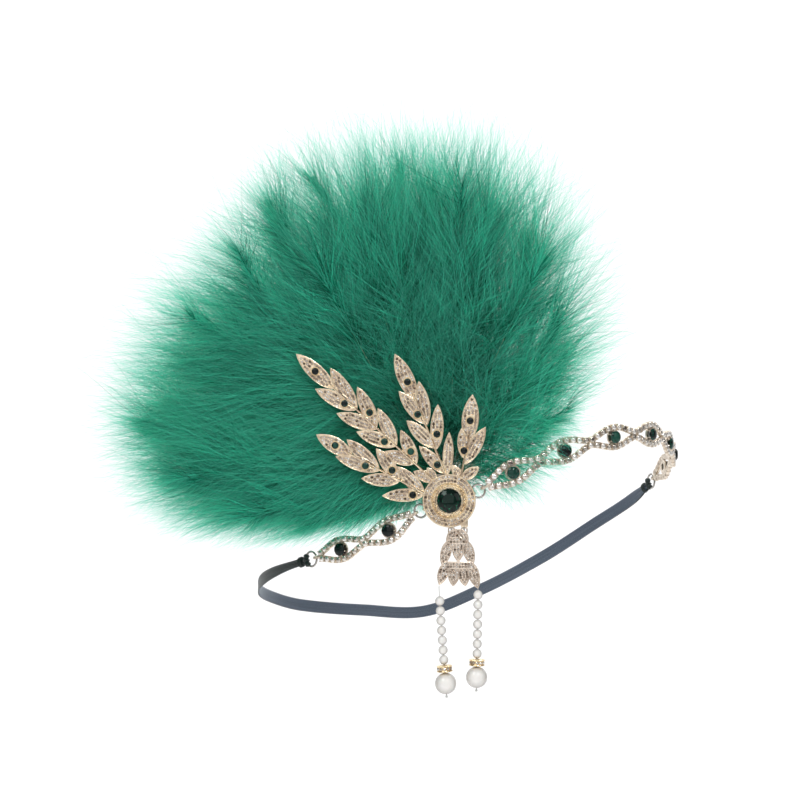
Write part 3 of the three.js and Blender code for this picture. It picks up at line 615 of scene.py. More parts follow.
@dataclass
class Effects:
    """The shader groups that several finishes share."""

    made: dict[str, NodeTree] = field(default_factory=dict)

    def group(
        self, name: str, inputs: Sequence[tuple[str, str, object]], outputs: Sequence[tuple[str, str]],
        wire: Callable[[Wiring, dict], dict],
    ) -> NodeTree:
        """Makes a group once.

        Args:
            name: The group's name.
            inputs: Name, socket type and value of each input.
            outputs: Name and socket type of each output.
            wire: Gets the wiring and the inputs, and gives a socket for each output.

        Returns:
            The group.
        """
        if name in self.made:
            return self.made[name]
        tree = bpy.data.node_groups.new(name, "ShaderNodeTree")
        for label, kind, value in inputs:
            socket = tree.interface.new_socket(label, in_out="INPUT", socket_type=kind)
            socket.default_value = value
        for label, kind in outputs:
            tree.interface.new_socket(label, in_out="OUTPUT", socket_type=kind)
        wiring = Wiring(tree)
        given = wiring.add("NodeGroupInput")
        made = wire(wiring, {label: given.outputs[label] for label, _, _ in inputs})
        wiring.add("NodeGroupOutput", made)
        self.made[name] = tree
        return tree

    def tarnish(self) -> NodeTree:
        """Cloudy tarnish: a colour and a roughness that wander over the metal."""

        def wire(w: Wiring, given: dict) -> dict:
            """Wires the group."""
            broad = w.object_noise(260.0, 4.0)
            fine = w.object_noise(2400.0, 3.0)
            share = w.ranged(broad, 0.42, 0.68, 0.0, 1.0)
            share = w.sum("MULTIPLY", share, given["Amount"])
            speck = w.ranged(fine, 0.35, 0.7, -0.06, 0.1)
            rough = w.sum("ADD", given["Polish"], speck)
            return {
                "Colour": w.mixed(share, given["Clean"], given["Stain"]),
                "Roughness": w.sum("ADD", rough, w.sum("MULTIPLY", share, 0.12)),
                "Height": fine,
            }

        colour, number = "NodeSocketColor", "NodeSocketFloat"
        return self.group(
            "Tarnish",
            [("Clean", colour, rgb(0.8, 0.6, 0.45)), ("Stain", colour, rgb(0.3, 0.2, 0.12)),
             ("Amount", number, 0.5), ("Polish", number, 0.2)],
            [("Colour", colour), ("Roughness", number), ("Height", number)], wire,
        )

    def sparkle(self) -> NodeTree:
        """Facets of a foiled stone, painted as reflections: each one painted dark, middling or as a painted
        glint.
        """

        def wire(w: Wiring, given: dict) -> dict:
            """Wires the group."""
            facet = w.add("ShaderNodeAttribute", attribute_name="facet").outputs["Fac"]
            # painted reflections: the facet value picks a dark, middling or glinting painted colour
            low = w.ranged(facet, 0.15, 0.45, 0.0, 1.0)
            high = w.ranged(facet, 0.52, 0.8, 0.0, 1.0)
            base = w.mixed(low, given["Deep"], given["Middle"])
            return {"Colour": w.mixed(high, base, given["Bright"]), "Facet": facet}

        colour = "NodeSocketColor"
        return self.group(
            "Sparkle",
            [("Deep", colour, rgb(0.1, 0.1, 0.1)), ("Middle", colour, rgb(0.5, 0.5, 0.5)),
             ("Bright", colour, rgb(1, 1, 1))],
            [("Colour", colour), ("Facet", "NodeSocketFloat")], wire,
        )


EFFECTS = Effects()


@dataclass(frozen=True)
class Finish:
    """What every finish has: a name and a Principled surface."""

    name: str

    def begun(self) -> tuple[Material, Wiring]:
        """A new material and its wiring."""
        material = bpy.data.materials.new(self.name)
        material.use_nodes = True
        return material, Wiring(material.node_tree)

    def ended(self, w: Wiring, feeds: dict) -> None:
        """Adds the surface and the output."""
        surface = w.add("ShaderNodeBsdfPrincipled", feeds)
        w.add("ShaderNodeOutputMaterial", {"Surface": surface.outputs["BSDF"]})

    def bumped(self, w: Wiring, height: object, distance: float, strength: float = 1.0) -> Socket:
        """The normal of a surface with a height on it."""
        feeds = {"Height": height, "Distance": distance, "Strength": strength}
        return w.add("ShaderNodeBump", feeds).outputs["Normal"]


@dataclass(frozen=True)
class CastMetal(Finish):
    """Polished or brushed metal with tarnish and a fine grain."""

    clean: Colour = rgb(0.97, 0.83, 0.62)
    stain: Colour = rgb(0.5, 0.34, 0.23)
    tarnish: float = 0.55
    polish: float = 0.2
    grain: float = 0.00002

    def material(self) -> Material:
        """Makes the material."""
        material, w = self.begun()
        feeds = {"Clean": self.clean, "Stain": self.stain, "Amount": self.tarnish, "Polish": self.polish}
        worn = w.add("ShaderNodeGroup", feeds, node_tree=EFFECTS.tarnish())
        self.ended(w, {
            "Base Color": worn.outputs["Colour"], "Metallic": 1.0,
            "Roughness": worn.outputs["Roughness"],
            "Normal": self.bumped(w, worn.outputs["Height"], self.grain),
        })
        return material


@dataclass(frozen=True)
class CutStone(Finish):
    """A foiled glass stone whose facets are painted dark, middling or glinting as painted reflections."""

    # The facets' dark, middling and lightest colours are painted reflections, the lightest a painted glint.
    deep: Colour = rgb(0.1, 0.065, 0.045)
    middle: Colour = rgb(0.56, 0.46, 0.37)
    bright: Colour = rgb(1.0, 0.98, 0.95)
    metallic: float = 0.85
    roughness: float = 0.06
    coat: float = 0.6
    specular: float = 0.5

    def material(self) -> Material:
        """Makes the material."""
        material, w = self.begun()
        feeds = {"Deep": self.deep, "Middle": self.middle, "Bright": self.bright}
        facets = w.add("ShaderNodeGroup", feeds, node_tree=EFFECTS.sparkle())
        self.ended(w, {
            "Base Color": facets.outputs["Colour"], "Metallic": self.metallic,
            "Roughness": w.ranged(facets.outputs["Facet"], 0.0, 1.0, self.roughness, self.roughness + 0.1),
            "Coat Weight": self.coat, "Coat Roughness": 0.02,
            "IOR": 1.55, "Specular IOR Level": self.specular,
        })
        return material


@dataclass(frozen=True)
class PearlCoat(Finish):
    """The lustre of an imitation pearl, with painted shade: its rim, turned away from the eye, is painted
    grey.
    """

    face: Colour = rgb(0.95, 0.925, 0.89)
    # The edge colour is painted shade at the pearl's rim.
    edge: Colour = rgb(0.36, 0.33, 0.3)

    def material(self) -> Material:
        """Makes the material."""
        material, w = self.begun()
        facing = w.add("ShaderNodeLayerWeight", {"Blend": 0.5}).outputs["Facing"]
        clouds = w.object_noise(420.0, 2.0)
        pale = w.mixed(w.ranged(clouds, 0.3, 0.7, 0.0, 0.22), self.face, rgb(0.93, 0.91, 0.89))
        # painted shade: the rim, turned away from the eye, painted grey
        colour = w.mixed(w.ranged(facing, 0.1, 0.8, 0.0, 0.95), pale, self.edge)
        skin = w.object_noise(5200.0, 2.0)
        self.ended(w, {
            "Base Color": colour, "Roughness": w.ranged(skin, 0.3, 0.7, 0.2, 0.3),
            "Coat Weight": 0.7, "Coat Roughness": 0.05, "Specular IOR Level": 0.5,
            "Subsurface Weight": 0.12, "Subsurface Radius": (0.0012, 0.001, 0.0008),
            "Normal": self.bumped(w, skin, 0.000001),
        })
        return material


@dataclass(frozen=True)
class SpunThread(Finish):
    """White twisted thread."""

    pale: Colour = rgb(0.86, 0.86, 0.84)
    shade: Colour = rgb(0.55, 0.55, 0.54)

    def material(self) -> Material:
        """Makes the material."""
        material, w = self.begun()
        place = w.add("ShaderNodeTexCoord").outputs["Object"]
        slant = w.add("ShaderNodeMapping", {"Vector": place, "Rotation": (0.0, 0.6, 0.5)})
        twist = w.add("ShaderNodeTexWave", {
            "Vector": slant.outputs["Vector"], "Scale": 900.0, "Distortion": 1.5, "Detail": 1.0,
        }, bands_direction="Z").outputs["Fac"]
        self.ended(w, {
            "Base Color": w.mixed(twist, self.shade, self.pale),
            "Roughness": w.ranged(twist, 0.0, 1.0, 0.75, 0.5),
            "Normal": self.bumped(w, twist, 0.00006),
        })
        return material


@dataclass(frozen=True)
class SatinRibbon(Finish):
    """Satin with a dark green face and a slate back, read from the cloth's own map."""

    face: Colour = rgb(0.004, 0.016, 0.014)
    back: Colour = rgb(0.1, 0.125, 0.18)
    sheen: Colour = rgb(0.5, 0.58, 0.66)
    edge: float = 0.5

    def material(self) -> Material:
        """Makes the material."""
        material, w = self.begun()
        cloth = w.add("ShaderNodeUVMap", uv_map="Cloth").outputs["UV"]
        split = w.add("ShaderNodeSeparateXYZ", {0: cloth})
        inner = w.sum("GREATER_THAN", split.outputs["X"], self.edge)
        colour = w.mixed(inner, self.face, self.back)
        weft = w.noise(cloth, (46.0, 2400.0, 1.0), 2.0)
        slubs = w.noise(cloth, (38.0, 16.0, 1.0), 3.0)
        shade = w.mixed(w.ranged(slubs, 0.35, 0.7, 0.0, 0.6), colour, rgb(0.2, 0.26, 0.32), "MULTIPLY")
        glint = w.sum("MULTIPLY", w.ranged(weft, 0.4, 0.75, 0.0, 0.22), w.ranged(inner, 0.0, 1.0, 0.2, 1.0))
        light = w.mixed(glint, shade, self.sheen, "SCREEN")
        lift = w.sum("ADD", weft, w.sum("MULTIPLY", slubs, 1.5))
        self.ended(w, {
            "Base Color": light, "Roughness": w.ranged(weft, 0.3, 0.7, 0.34, 0.5),
            "Sheen Weight": w.ranged(inner, 0.0, 1.0, 0.04, 0.25), "Sheen Roughness": 0.4,
            "Sheen Tint": self.sheen, "Normal": self.bumped(w, lift, 0.00004),
        })
        return material


@dataclass(frozen=True)
class DyedBarbs(Finish):
    """Dyed down, whose map gives each barb a shade across and its length up; each barb is painted in shade at
    its root and with a painted glow towards its tip.
    """

    deep: Colour = rgb(0.0004, 0.026, 0.014)
    middle: Colour = rgb(0.004, 0.2, 0.115)
    light: Colour = rgb(0.06, 0.68, 0.43)
    # The tip colour is a painted glow of light through the thin ends.
    tip: Colour = rgb(0.16, 0.84, 0.62)
    glow: float = 0.55

    def material(self) -> Material:
        """Makes the material."""
        material, w = self.begun()
        barb = w.add("ShaderNodeUVMap", uv_map="OFBake").outputs["UV"]
        split = w.add("ShaderNodeSeparateXYZ", {0: barb})
        shade, height = split.outputs["X"], split.outputs["Y"]
        low = w.mixed(w.ranged(shade, 0.0, 0.5, 0.0, 1.0), self.deep, self.middle)
        body = w.mixed(w.ranged(shade, 0.5, 1.0, 0.0, 1.0), low, self.light)
        # painted glow: each barb painted paler towards its tip
        painted_tip_glow = w.mixed(w.ranged(height, 0.25, 1.0, 0.0, 0.8), body, self.tip)
        # painted shade: each barb painted darker towards its root
        dyed = w.mixed(w.ranged(height, 0.0, 0.25, 0.5, 0.0), painted_tip_glow, self.deep)
        self.ended(w, {
            "Base Color": dyed, "Roughness": w.ranged(height, 0.0, 1.0, 0.5, 0.72),
            "Sheen Weight": 0.05, "Sheen Roughness": 0.5, "Sheen Tint": rgb(0.3, 0.85, 0.68),
            "Specular IOR Level": 0.1, "IOR": 1.04,
            "Transmission Weight": w.ranged(height, 0.25, 0.9, 0.0, self.glow),
        })
        return material


@dataclass(frozen=True)
class Quill(Finish):
    """A feather's shaft, dyed and paler in streaks."""

    pale: Colour = rgb(0.42, 0.55, 0.36)
    dyed: Colour = rgb(0.03, 0.22, 0.13)

    def material(self) -> Material:
        """Makes the material."""
        material, w = self.begun()
        streaks = w.object_noise(55.0, 3.0)
        grain = w.object_noise(1800.0, 2.0)
        self.ended(w, {
            "Base Color": w.mixed(w.ranged(streaks, 0.4, 0.6, 0.0, 1.0), self.dyed, self.pale),
            "Roughness": w.ranged(grain, 0.3, 0.7, 0.35, 0.55),
            "Normal": self.bumped(w, grain, 0.00002),
        })
        return material


@dataclass(frozen=True)
class StudioPaper(Finish):
    """The pale floor and backdrop."""

    pale: Colour = rgb(0.93, 0.93, 0.93)

    def material(self) -> Material:
        """Makes the material."""
        material, w = self.begun()
        grain = w.object_noise(9.0, 3.0)
        self.ended(w, {
            "Base Color": w.mixed(w.ranged(grain, 0.3, 0.7, 0.0, 0.25), self.pale, rgb(0.9, 0.9, 0.9)),
            "Roughness": 0.9,
        })
        return material


def entry(kind: type[Finish], name: str, **values: object) -> Material:
    """A palette entry, made when the palette is."""
    return field(default_factory=lambda: kind(name, **values).material())


@dataclass
class Palette:
    """Every finish of the headband, made once."""

    gold: Material = entry(CastMetal, "champagne_gold")
    chain_metal: Material = entry(
        CastMetal, "chain_metal", clean=rgb(0.82, 0.72, 0.6), stain=rgb(0.46, 0.36, 0.29), polish=0.3)
    deep_gold: Material = entry(
        CastMetal, "bezel_gold", clean=rgb(0.96, 0.78, 0.5), stain=rgb(0.55, 0.34, 0.16), polish=0.22)
    pale_gold: Material = entry(
        CastMetal, "drop_metal", clean=rgb(0.94, 0.82, 0.7), stain=rgb(0.44, 0.33, 0.26), polish=0.22)
    silver: Material = entry(
        CastMetal, "silver_wire_finish", clean=rgb(0.44, 0.42, 0.39), stain=rgb(0.2, 0.18, 0.16),
        polish=0.14)
    clip: Material = entry(
        CastMetal, "brushed_clip", clean=rgb(0.62, 0.6, 0.57), stain=rgb(0.3, 0.28, 0.26), polish=0.36,
        grain=0.00005)
    # The cut stones' facet colours below are painted reflections and glints.
    clear: Material = entry(CutStone, "clear_pave")
    cupped: Material = entry(
        CutStone, "cup_stones", deep=rgb(0.16, 0.13, 0.11), middle=rgb(0.8, 0.74, 0.66),
        bright=rgb(1.0, 0.97, 0.94))
    warm: Material = entry(
        CutStone, "warm_pave", deep=rgb(0.32, 0.22, 0.12), middle=rgb(0.92, 0.78, 0.56),
        bright=rgb(1.0, 0.93, 0.75))
    dark: Material = entry(
        CutStone, "dark_green_stone", deep=rgb(0.0008, 0.003, 0.003), middle=rgb(0.002, 0.009, 0.008),
        bright=rgb(0.012, 0.08, 0.055), metallic=0.1, roughness=0.05, coat=0.12, specular=0.25)
    emerald: Material = entry(
        CutStone, "emerald_stone", deep=rgb(0.0003, 0.003, 0.002), middle=rgb(0.0008, 0.016, 0.01),
        bright=rgb(0.01, 0.42, 0.2), metallic=0.25, roughness=0.04, coat=0.1, specular=0.3)
    pearl: Material = entry(PearlCoat, "pearl_lustre")
    thread: Material = entry(SpunThread, "white_thread")
    satin: Material = entry(SatinRibbon, "satin_ribbon")
    knot: Material = entry(SatinRibbon, "satin_knot", edge=9.0)
    down: Material = entry(DyedBarbs, "dyed_down")
    quill: Material = entry(Quill, "dyed_quill")
    paper: Material = entry(StudioPaper, "studio_paper")


# Small parts that several sub-assemblies share


def cut_entry(sides: int, *tiers: tuple[float, float, float]) -> Shape:
    """A stone's entry, made when the stones are."""
    return field(default_factory=lambda: Shape.of(stacked(sides, tiers)))


@dataclass
class Stones:
    """The shapes of the cut stones and of a ball of metal, each of radius 1."""

    pave: Shape = cut_entry(8, (0.95, -0.3, 0), (1.0, 0.0, 0), (0.55, 0.55, 0))
    chaton: Shape = cut_entry(8, (0.9, -0.3, 0), (1.0, 0.0, 0), (0.88, 0.22, 22.5), (0.6, 0.4, 45))
    round_cut: Shape = cut_entry(
        12, (0.5, -0.55, 0), (0.98, -0.04, 0), (1.0, 0.03, 0), (0.86, 0.2, 15), (0.6, 0.36, 30))
    grain: Shape = field(default_factory=lambda: Shape.of(bead_shape(1.0)))


@dataclass
class LeafCut:
    """A pointed leaf plate along x from the origin, with a raised rim round a field of stones."""

    length: float
    width: float
    base: float
    rim: float
    rim_height: float
    steps: int = 11

    # The edge curve's handles, as shares of the length and of half the width
    HANDLES = ((0.0, 0.0), (0.16, 1.3), (0.7, 1.45), (1.0, 0.0))
    # Shares of the pitch: from column to column, off the rim, a look to each side, the widest gap
    COLUMN, OFF_RIM, LOOK, WIDEST = 0.87, 0.36, 0.3, 1.12

    def outline(self) -> list[tuple[float, float]]:
        """The upper edge from base to tip, as places and half widths."""
        half = self.width / 2
        handles = [(self.length * x, half * y) for x, y in self.HANDLES]
        points = []
        for i in range(self.steps + 1):
            t = i / self.steps
            weights = ((1 - t) ** 3, 3 * t * (1 - t) ** 2, 3 * t * t * (1 - t), t**3)
            points.append(tuple(sum(w * h[k] for w, h in zip(weights, handles)) for k in (0, 1)))
        return points

    def plate(self) -> Bmesh:
        """The plate with its rounded rim and sunk field."""
        edge = self.outline()
        ring = edge + [(x, -y) for x, y in edge[-2:0:-1]]
        bm = bmesh.new()
        face = bm.faces.new([bm.verts.new((x, y, 0.0)) for x, y in ring])
        face.normal_update()
        if face.normal.z < 0:
            face.normal_flip()
        top = lifted(bm, face, moved(z=self.base + self.rim_height))
        edges = []
        for share in (0.8, 0.2):
            edges += list(top.edges)
            bmesh.ops.inset_region(
                bm, faces=[top], thickness=self.rim * share, use_boundary=True, use_even_offset=True)
        bmesh.ops.translate(bm, vec=(0, 0, -self.rim_height), verts=list(top.verts))
        rounded(bm, edges, self.rim * 0.26)
        return closed(bm)

    def half_at(self, x: float) -> float:
        """Half the leaf's width at a place along it."""
        edge = self.outline()
        return float(np.interp(x, [p[0] for p in edge], [p[1] for p in edge]))

    def stones(self, pitch: float, stone: float | None, clear: float) -> list[tuple[float, float]]:
        """Where the pave stones sit, in rows staggered along the leaf.

        Args:
            pitch: From stone to stone.
            stone: Where the large stone's middle is, if there is one.
            clear: How far from that middle no pave sits.

        Returns:
            The places in the leaf's plane.
        """
        found = []
        margin = self.rim + pitch * self.OFF_RIM
        look = pitch * self.LOOK
        columns = int(self.length / (pitch * self.COLUMN))
        for i in range(1, columns):
            x = i * pitch * self.COLUMN
            reach = min(self.half_at(x), self.half_at(x + look), self.half_at(x - look)) - margin
            if reach < -0.05:
                continue
            count = max(1, int(2 * max(reach, 0.0) / pitch) + 1)
            gap = pitch if count == 1 else min(pitch * self.WIDEST, 2 * max(reach, 0.0) / (count - 1))
            for k in range(count):
                y = (k - (count - 1) / 2) * gap
                if stone is None or math.hypot(x - stone, y) > clear:
                    found.append((x, y))
        return found


def studded(
    pile: Pile, stones: Stones, places: Sequence[Matrix], radius: float, finish: int, tilt: float = 7.0,
) -> None:
    """Sets pave stones, each turned and tilted a little, so that they don't flash together."""
    set_places = []
    for place in places:
        spin, lean_x, lean_y, swell = pile.rng.random(4)
        lean = turned((lean_x - 0.5) * 2 * tilt, "X") @ turned((lean_y - 0.5) * 2 * tilt, "Y")
        set_places.append(place @ lean @ turned(spin * 45) @ sized(radius * (0.93 + 0.12 * swell)))
    pile.add(stones.pave, set_places, finish, smooth=False)


# The brooch


@dataclass
class Brooch:
    """The halo with its leaf spray, centre stone, hinge staples and back lugs."""

    palette: Palette
    stones: Stones
    route: LoopRoute
    height: float = 20.0
    halo: float = 11.2
    thickness: float = 2.6
    field_top: float = 2.0
    bezel: float = 7.2
    centre: float = 5.2
    plate: float = 1.2
    leaf_rim: float = 0.5
    leaf_rim_height: float = 0.5
    layer: float = 0.2
    leaf_length: float = 20.0
    leaf_width: float = 6.4
    stem_width: float = 1.3
    stem_height: float = 2.45
    stem_lap: float = 4.0
    reach: float = 56.0
    leaf_stone: float = 1.5
    leaf_stone_height: float = 1.1
    pave_pitch: float = 1.36
    pave_radius: float = 0.64
    lug_offset: float = 1.25
    lug_radius: float = 10.2
    lug_azimuths: dict[Side, float] = field(default_factory=lambda: {Side.LEFT: 199.0, Side.RIGHT: 14.0})
    wire: float = 0.45
    wire_gap: float = 0.3
    lug_wall: float = 0.75
    ring: float = 2.8
    # root, heading, stem, then for each leaf: from, turn, length, width, stone
    branches: tuple = (
        (127.0, 137.5, 1.0, (
            (1.0, 0, 1.1, 1.0, 0.5), (0.77, -14.6, 1.05, 0.95, None), (0.57, -22, 0.96, 0.92, 0.37),
            (0.37, -21, 0.89, 0.85, None), (0.166, -22.5, 0.8, 0.85, 0.37), (-0.03, -16, 0.36, 0.6, None),
            (0.77, 16, 0.99, 0.95, 0.3), (0.56, 22, 0.93, 0.92, None), (0.37, 23, 0.9, 0.9, 0.3),
            (0.18, 24, 0.73, 0.85, None), (-0.02, 18, 0.5, 0.7, None))),
        (165.0, 151.6, 0.6, (
            (1.0, -1.6, 0.89, 1.0, 0.48), (0.62, -14.7, 0.95, 0.9, None), (0.33, -25.6, 0.86, 0.85, 0.33),
            (-0.02, -16.6, 0.84, 0.85, None), (0.61, 11, 0.99, 0.9, 0.33), (0.33, 24.3, 0.82, 0.85, None),
            (-0.02, 30.3, 0.9, 0.85, 0.28))),
        (95.6, 112.6, 0.6, (
            (1.0, 1.8, 1.07, 1.05, 0.39), (0.65, -12.8, 0.96, 0.92, None), (0.33, -24.5, 0.96, 0.85, 0.34),
            (-0.02, -25.4, 0.92, 0.7, None), (0.67, 16.4, 0.91, 0.85, 0.3), (0.35, 23.8, 0.85, 0.9, None),
            (0.0, 21.7, 0.83, 0.8, 0.33))),
        (61.6, 79.8, 0.27, (
            (1.0, 5, 1.0, 1.1, 0.44), (0.5, 17, 0.66, 0.75, 0.28), (-0.05, 44, 0.36, 0.6, None),
            (0.35, -19.4, 0.92, 0.9, None), (-0.05, -46, 0.45, 0.7, None))),
    )

    GOLD, CLEAR, WARM, DARK, DEEP = range(5)

    def __post_init__(self) -> None:
        """Works out the brooch's own frame: x right, y up, z towards the viewer."""
        angle = math.radians(self.route.start)
        at = Vector((
            self.route.length / 2 * math.sin(angle),
            -self.route.width / 2 * math.cos(angle) - self.lug_offset, self.height,
        ))
        self.frame = placed(Vector((1, 0, 0)), UP, at)

    def spray_pile(self) -> Pile:
        """Lays the spray's metal and stones down."""
        pile = Pile("leaf_spray_cast", 11, self.frame)
        darks, collars = [], []
        for root, heading, stem, leaves in self.branches:
            start = turned(root) @ Vector((self.halo, 0, 0))
            way = turned(heading) @ Vector((1, 0, 0))
            for i, (share, turn, length, width, stone) in enumerate(leaves):
                at = start + way * (stem * self.reach * share)
                place = moved(at.x, at.y, self.layer * (i % 3)) @ turned(heading + turn)
                size = (length * self.leaf_length, width * self.leaf_width)
                self.lay_leaf(pile, place, size, stone, darks, collars)
            self.lay_stem(pile, start * 0.85, start + way * (stem * self.reach + self.stem_lap))
        pile.add(self.stones.round_cut, darks, self.DARK, smooth=False)
        collar = lathed([(1.22, 0.0), (1.3, 0.3), (1.2, 0.5), (1.02, 0.5), (0.98, 0.2)], 16)
        pile.add(collar, collars, self.DEEP)
        self.lay_halo(pile)
        self.lay_staples(pile)
        for side in Side:
            self.lay_back_lug(pile, side)
        return pile

    def lay_leaf(
        self, pile: Pile, place: Matrix, size: tuple[float, float], stone: float | None,
        darks: list[Matrix], collars: list[Matrix],
    ) -> None:
        """Lays one leaf with its pave, and notes where its dark stone goes."""
        leaf = LeafCut(*size, self.plate, self.leaf_rim, self.leaf_rim_height)
        pile.add(leaf.plate(), [place], self.GOLD)
        middle = None if stone is None else stone * leaf.length
        spots = leaf.stones(self.pave_pitch, middle, self.leaf_stone + self.pave_radius * 1.05)
        studded(pile, self.stones, [place @ moved(x, y, self.plate + 0.2) for x, y in spots],
                self.pave_radius, self.CLEAR)
        half = self.pave_pitch / 2
        beads = [place @ moved(x + half * 0.9, y + half, self.plate + 0.12) @ sized(0.24)
                 for x, y in spots if leaf.half_at(x + half) - self.leaf_rim > abs(y + half) + 0.2]
        pile.add(self.stones.grain, beads, self.GOLD)
        if middle is not None:
            seat = place @ moved(middle, 0, self.plate)
            darks.append(seat @ moved(z=self.leaf_stone_height * 0.52) @ sized(self.leaf_stone))
            collars.append(seat @ sized(self.leaf_stone, self.leaf_stone, 1.0))

    def lay_stem(self, pile: Pile, start: Vector, end: Vector) -> None:
        """Lays a tapering half-round stem."""
        count = 8
        lift = Vector((0, 0, self.stem_height / 2))
        points = [start.lerp(end, i / count) + lift for i in range(count + 1)]
        radii = [self.stem_width / 2 * (1.0 - 0.3 * i / count) for i in range(count + 1)]
        side = (end - start).cross(UP).normalized()
        flat = self.stem_height / self.stem_width * 0.98
        pile.add(swept(points, radii, 10, flat, side))

    def lay_halo(self, pile: Pile) -> None:
        """Lays the halo, its rings of stones and the milled lines between them."""
        top, low, out, step = self.thickness, self.field_top, self.halo, self.bezel
        profile = [
            (0.0, -0.2), (out - 3.2, -0.2), (out - 3.0, 0.0), (out - 0.15, 0.0), (out, 0.15),
            (out, top - 0.2), (out - 0.1, top - 0.04), (out - 0.35, top), (out - 0.62, top - 0.05),
            (out - 0.7, low + 0.1), (out - 0.75, low), (step + 0.35, low), (step + 0.25, top - 0.1),
            (step + 0.1, top + 0.08), (step - 0.15, top + 0.1), (step - 0.3, top - 0.1),
            (step - 0.36, top - 0.3), (6.02, top - 0.1), (5.98, 3.1), (5.9, 3.38), (5.75, 3.5), (5.6, 3.46),
            (5.5, 3.2), (5.5, 1.0), (0.0, 1.0),
        ]
        pile.add(lathed(profile, 72))
        pile.add(ring_shape(self.bezel - 0.02, 0.17, 72, 6), [moved(z=top + 0.08)], self.DEEP)
        for radius, height, count, size, finish in (
            (10.0, low + 0.24, 44, 0.66, self.CLEAR), (8.42, low + 0.24, 37, 0.66, self.CLEAR),
            (6.4, top - 0.08, 32, 0.52, self.WARM),
        ):
            shift = 0.5 * (radius < 9)
            ring = [turned(360 * (i + shift) / count) @ moved(radius, 0, height) for i in range(count)]
            studded(pile, self.stones, ring, size, finish)
            beads = [
                turned(360 * (i + 0.5 + shift) / count) @ moved(radius + off, 0, height - 0.04) @ sized(0.2)
                for i in range(count) for off in (-0.42, 0.42)
            ]
            pile.add(self.stones.grain, beads, self.GOLD if finish == self.CLEAR else self.DEEP)
        claws = [turned(45 * i + 20) @ moved(5.45, 0, 3.5) @ sized(0.42, 0.42, 0.36) for i in range(8)]
        pile.add(self.stones.grain, claws, self.DEEP)

    def lay_staples(self, pile: Pile) -> None:
        """Lays the tongue behind the halo and the two staples that the drop's rings hang from."""
        hinge = HINGE
        low, high = hinge.height - hinge.bar / 2 - self.layer, -self.halo * 0.6
        for x in hinge.eyes.values():
            size = (2 * hinge.eye_half + 0.1, high - low, self.plate - 0.2)
            pile.add(block(size, (x, (low + high) / 2, self.plate / 2), 0.35))
        for x in hinge.eyes.values():
            line = hairpin(x, hinge.eye_half - hinge.bar / 2, self.layer, hinge.depth, 0.35, 0.1)
            points = [Vector((across, hinge.height, deep)) for across, deep in line]
            wire = swept(points, [hinge.bar / 2] * len(points), 10, across=Vector((0, 1, 0)))
            pile.add(wire)

    def back_hole(self, side: Side) -> Vector:
        """Where a lug behind the halo holds the ring of a chain."""
        return turned(self.lug_azimuths[side]) @ Vector((self.lug_radius, 0, -self.lug_offset))

    def tie(self, side: Side) -> tuple[float, Vector, Vector, Vector]:
        """The ring between a back lug and its chain.

        Args:
            side: The brooch's side.

        Returns:
            The chain's arc length at its first lug, the ring's middle and axis, and the way its
            wire runs through the back lug.
        """
        hole = self.frame @ self.back_hole(side)
        way = side.value
        start = self.route.length_at(hole, 2 * self.ring, way * self.lug_radius * 0.8, way)
        lug = self.route.along(start)
        reach = lug.point - hole
        axis = reach.cross(lug.across).normalized()
        return start, (hole + lug.point) / 2, axis, axis.cross(reach).normalized()

    def lay_back_lug(self, pile: Pile, side: Side) -> None:
        """Lays the lug that a chain's ring goes through."""
        wire = self.frame.inverted().to_3x3() @ self.tie(side)[3]
        foot = Vector((0, 0, 1))
        place = placed(foot, wire.cross(foot), self.back_hole(side))
        for part in lug_parts(self.lug_offset + self.plate, self.wire + self.wire_gap, self.lug_wall):
            pile.add(part, [place], self.GOLD)

    def build(self) -> None:
        """Makes the spray and the centre stone."""
        colours = self.palette
        finishes = [colours.gold, colours.clear, colours.warm, colours.dark, colours.deep_gold]
        fitted(self.spray_pile().piece(finishes), Body.HEADBAND, Slot.CAST, ["leaf_spray"])
        stone = Pile("centre_stone_cut", 12, self.frame)
        cut = stacked(16, (
            (2.3, 1.3, 0), (self.centre - 0.15, 3.2, 0), (self.centre, 3.35, 0), (4.85, 3.62, 11.25),
            (4.05, 4.22, 22.5), (3.1, 4.68, 33.75), (2.75, 4.8, 33.75),
        ))
        stone.add(cut, None, 0, smooth=False)
        fitted(stone.piece([colours.emerald]), Body.HEADBAND, Slot.GREEN, ["centre_stone"])


@dataclass
class Hinge:
    """Where the drop's rings turn on the staples, in the brooch's frame."""

    ring: float = 1.4
    wire: float = 0.28
    bar: float = 0.6
    gap: float = 0.2
    eye_width: float = 1.8
    eye_height: float = 1.35
    eyes: dict[Side, float] = field(default_factory=lambda: {Side.LEFT: 1.0, Side.RIGHT: 6.4})
    above_edge: float = 0.6
    behind: float = 2.15
    halo: float = 11.2

    def __post_init__(self) -> None:
        """Works out the hinge's height and depth, and the top of the drop."""
        self.height = self.above_edge - self.halo
        self.depth = -self.behind
        self.reach = self.bar / 2 * math.sqrt(2) + self.wire + self.gap
        self.drop_top = self.height - 2 * (self.ring - self.reach)
        self.eye_half = self.eye_width / 2 + self.bar


HINGE = Hinge()


def lug_parts(foot: float, hole: float, wall: float, thick: float = 1.2) -> list[Bmesh]:
    """A lug: an eye round a hole along z at the origin, with a foot towards x."""
    half = thick / 2
    outer = hole + wall
    edge = 0.22
    eye = lathed([
        (hole, -half + edge), (hole + edge, -half), (outer - edge, -half), (outer, -half + edge),
        (outer, half - edge), (outer - edge, half), (hole + edge, half), (hole, half - edge),
    ], 24, loop=True)
    near = hole + wall * 0.35
    return [eye, block((foot - near, outer * 1.5, thick * 0.96), ((foot + near) / 2, 0, 0), 0.25)]


# The chains


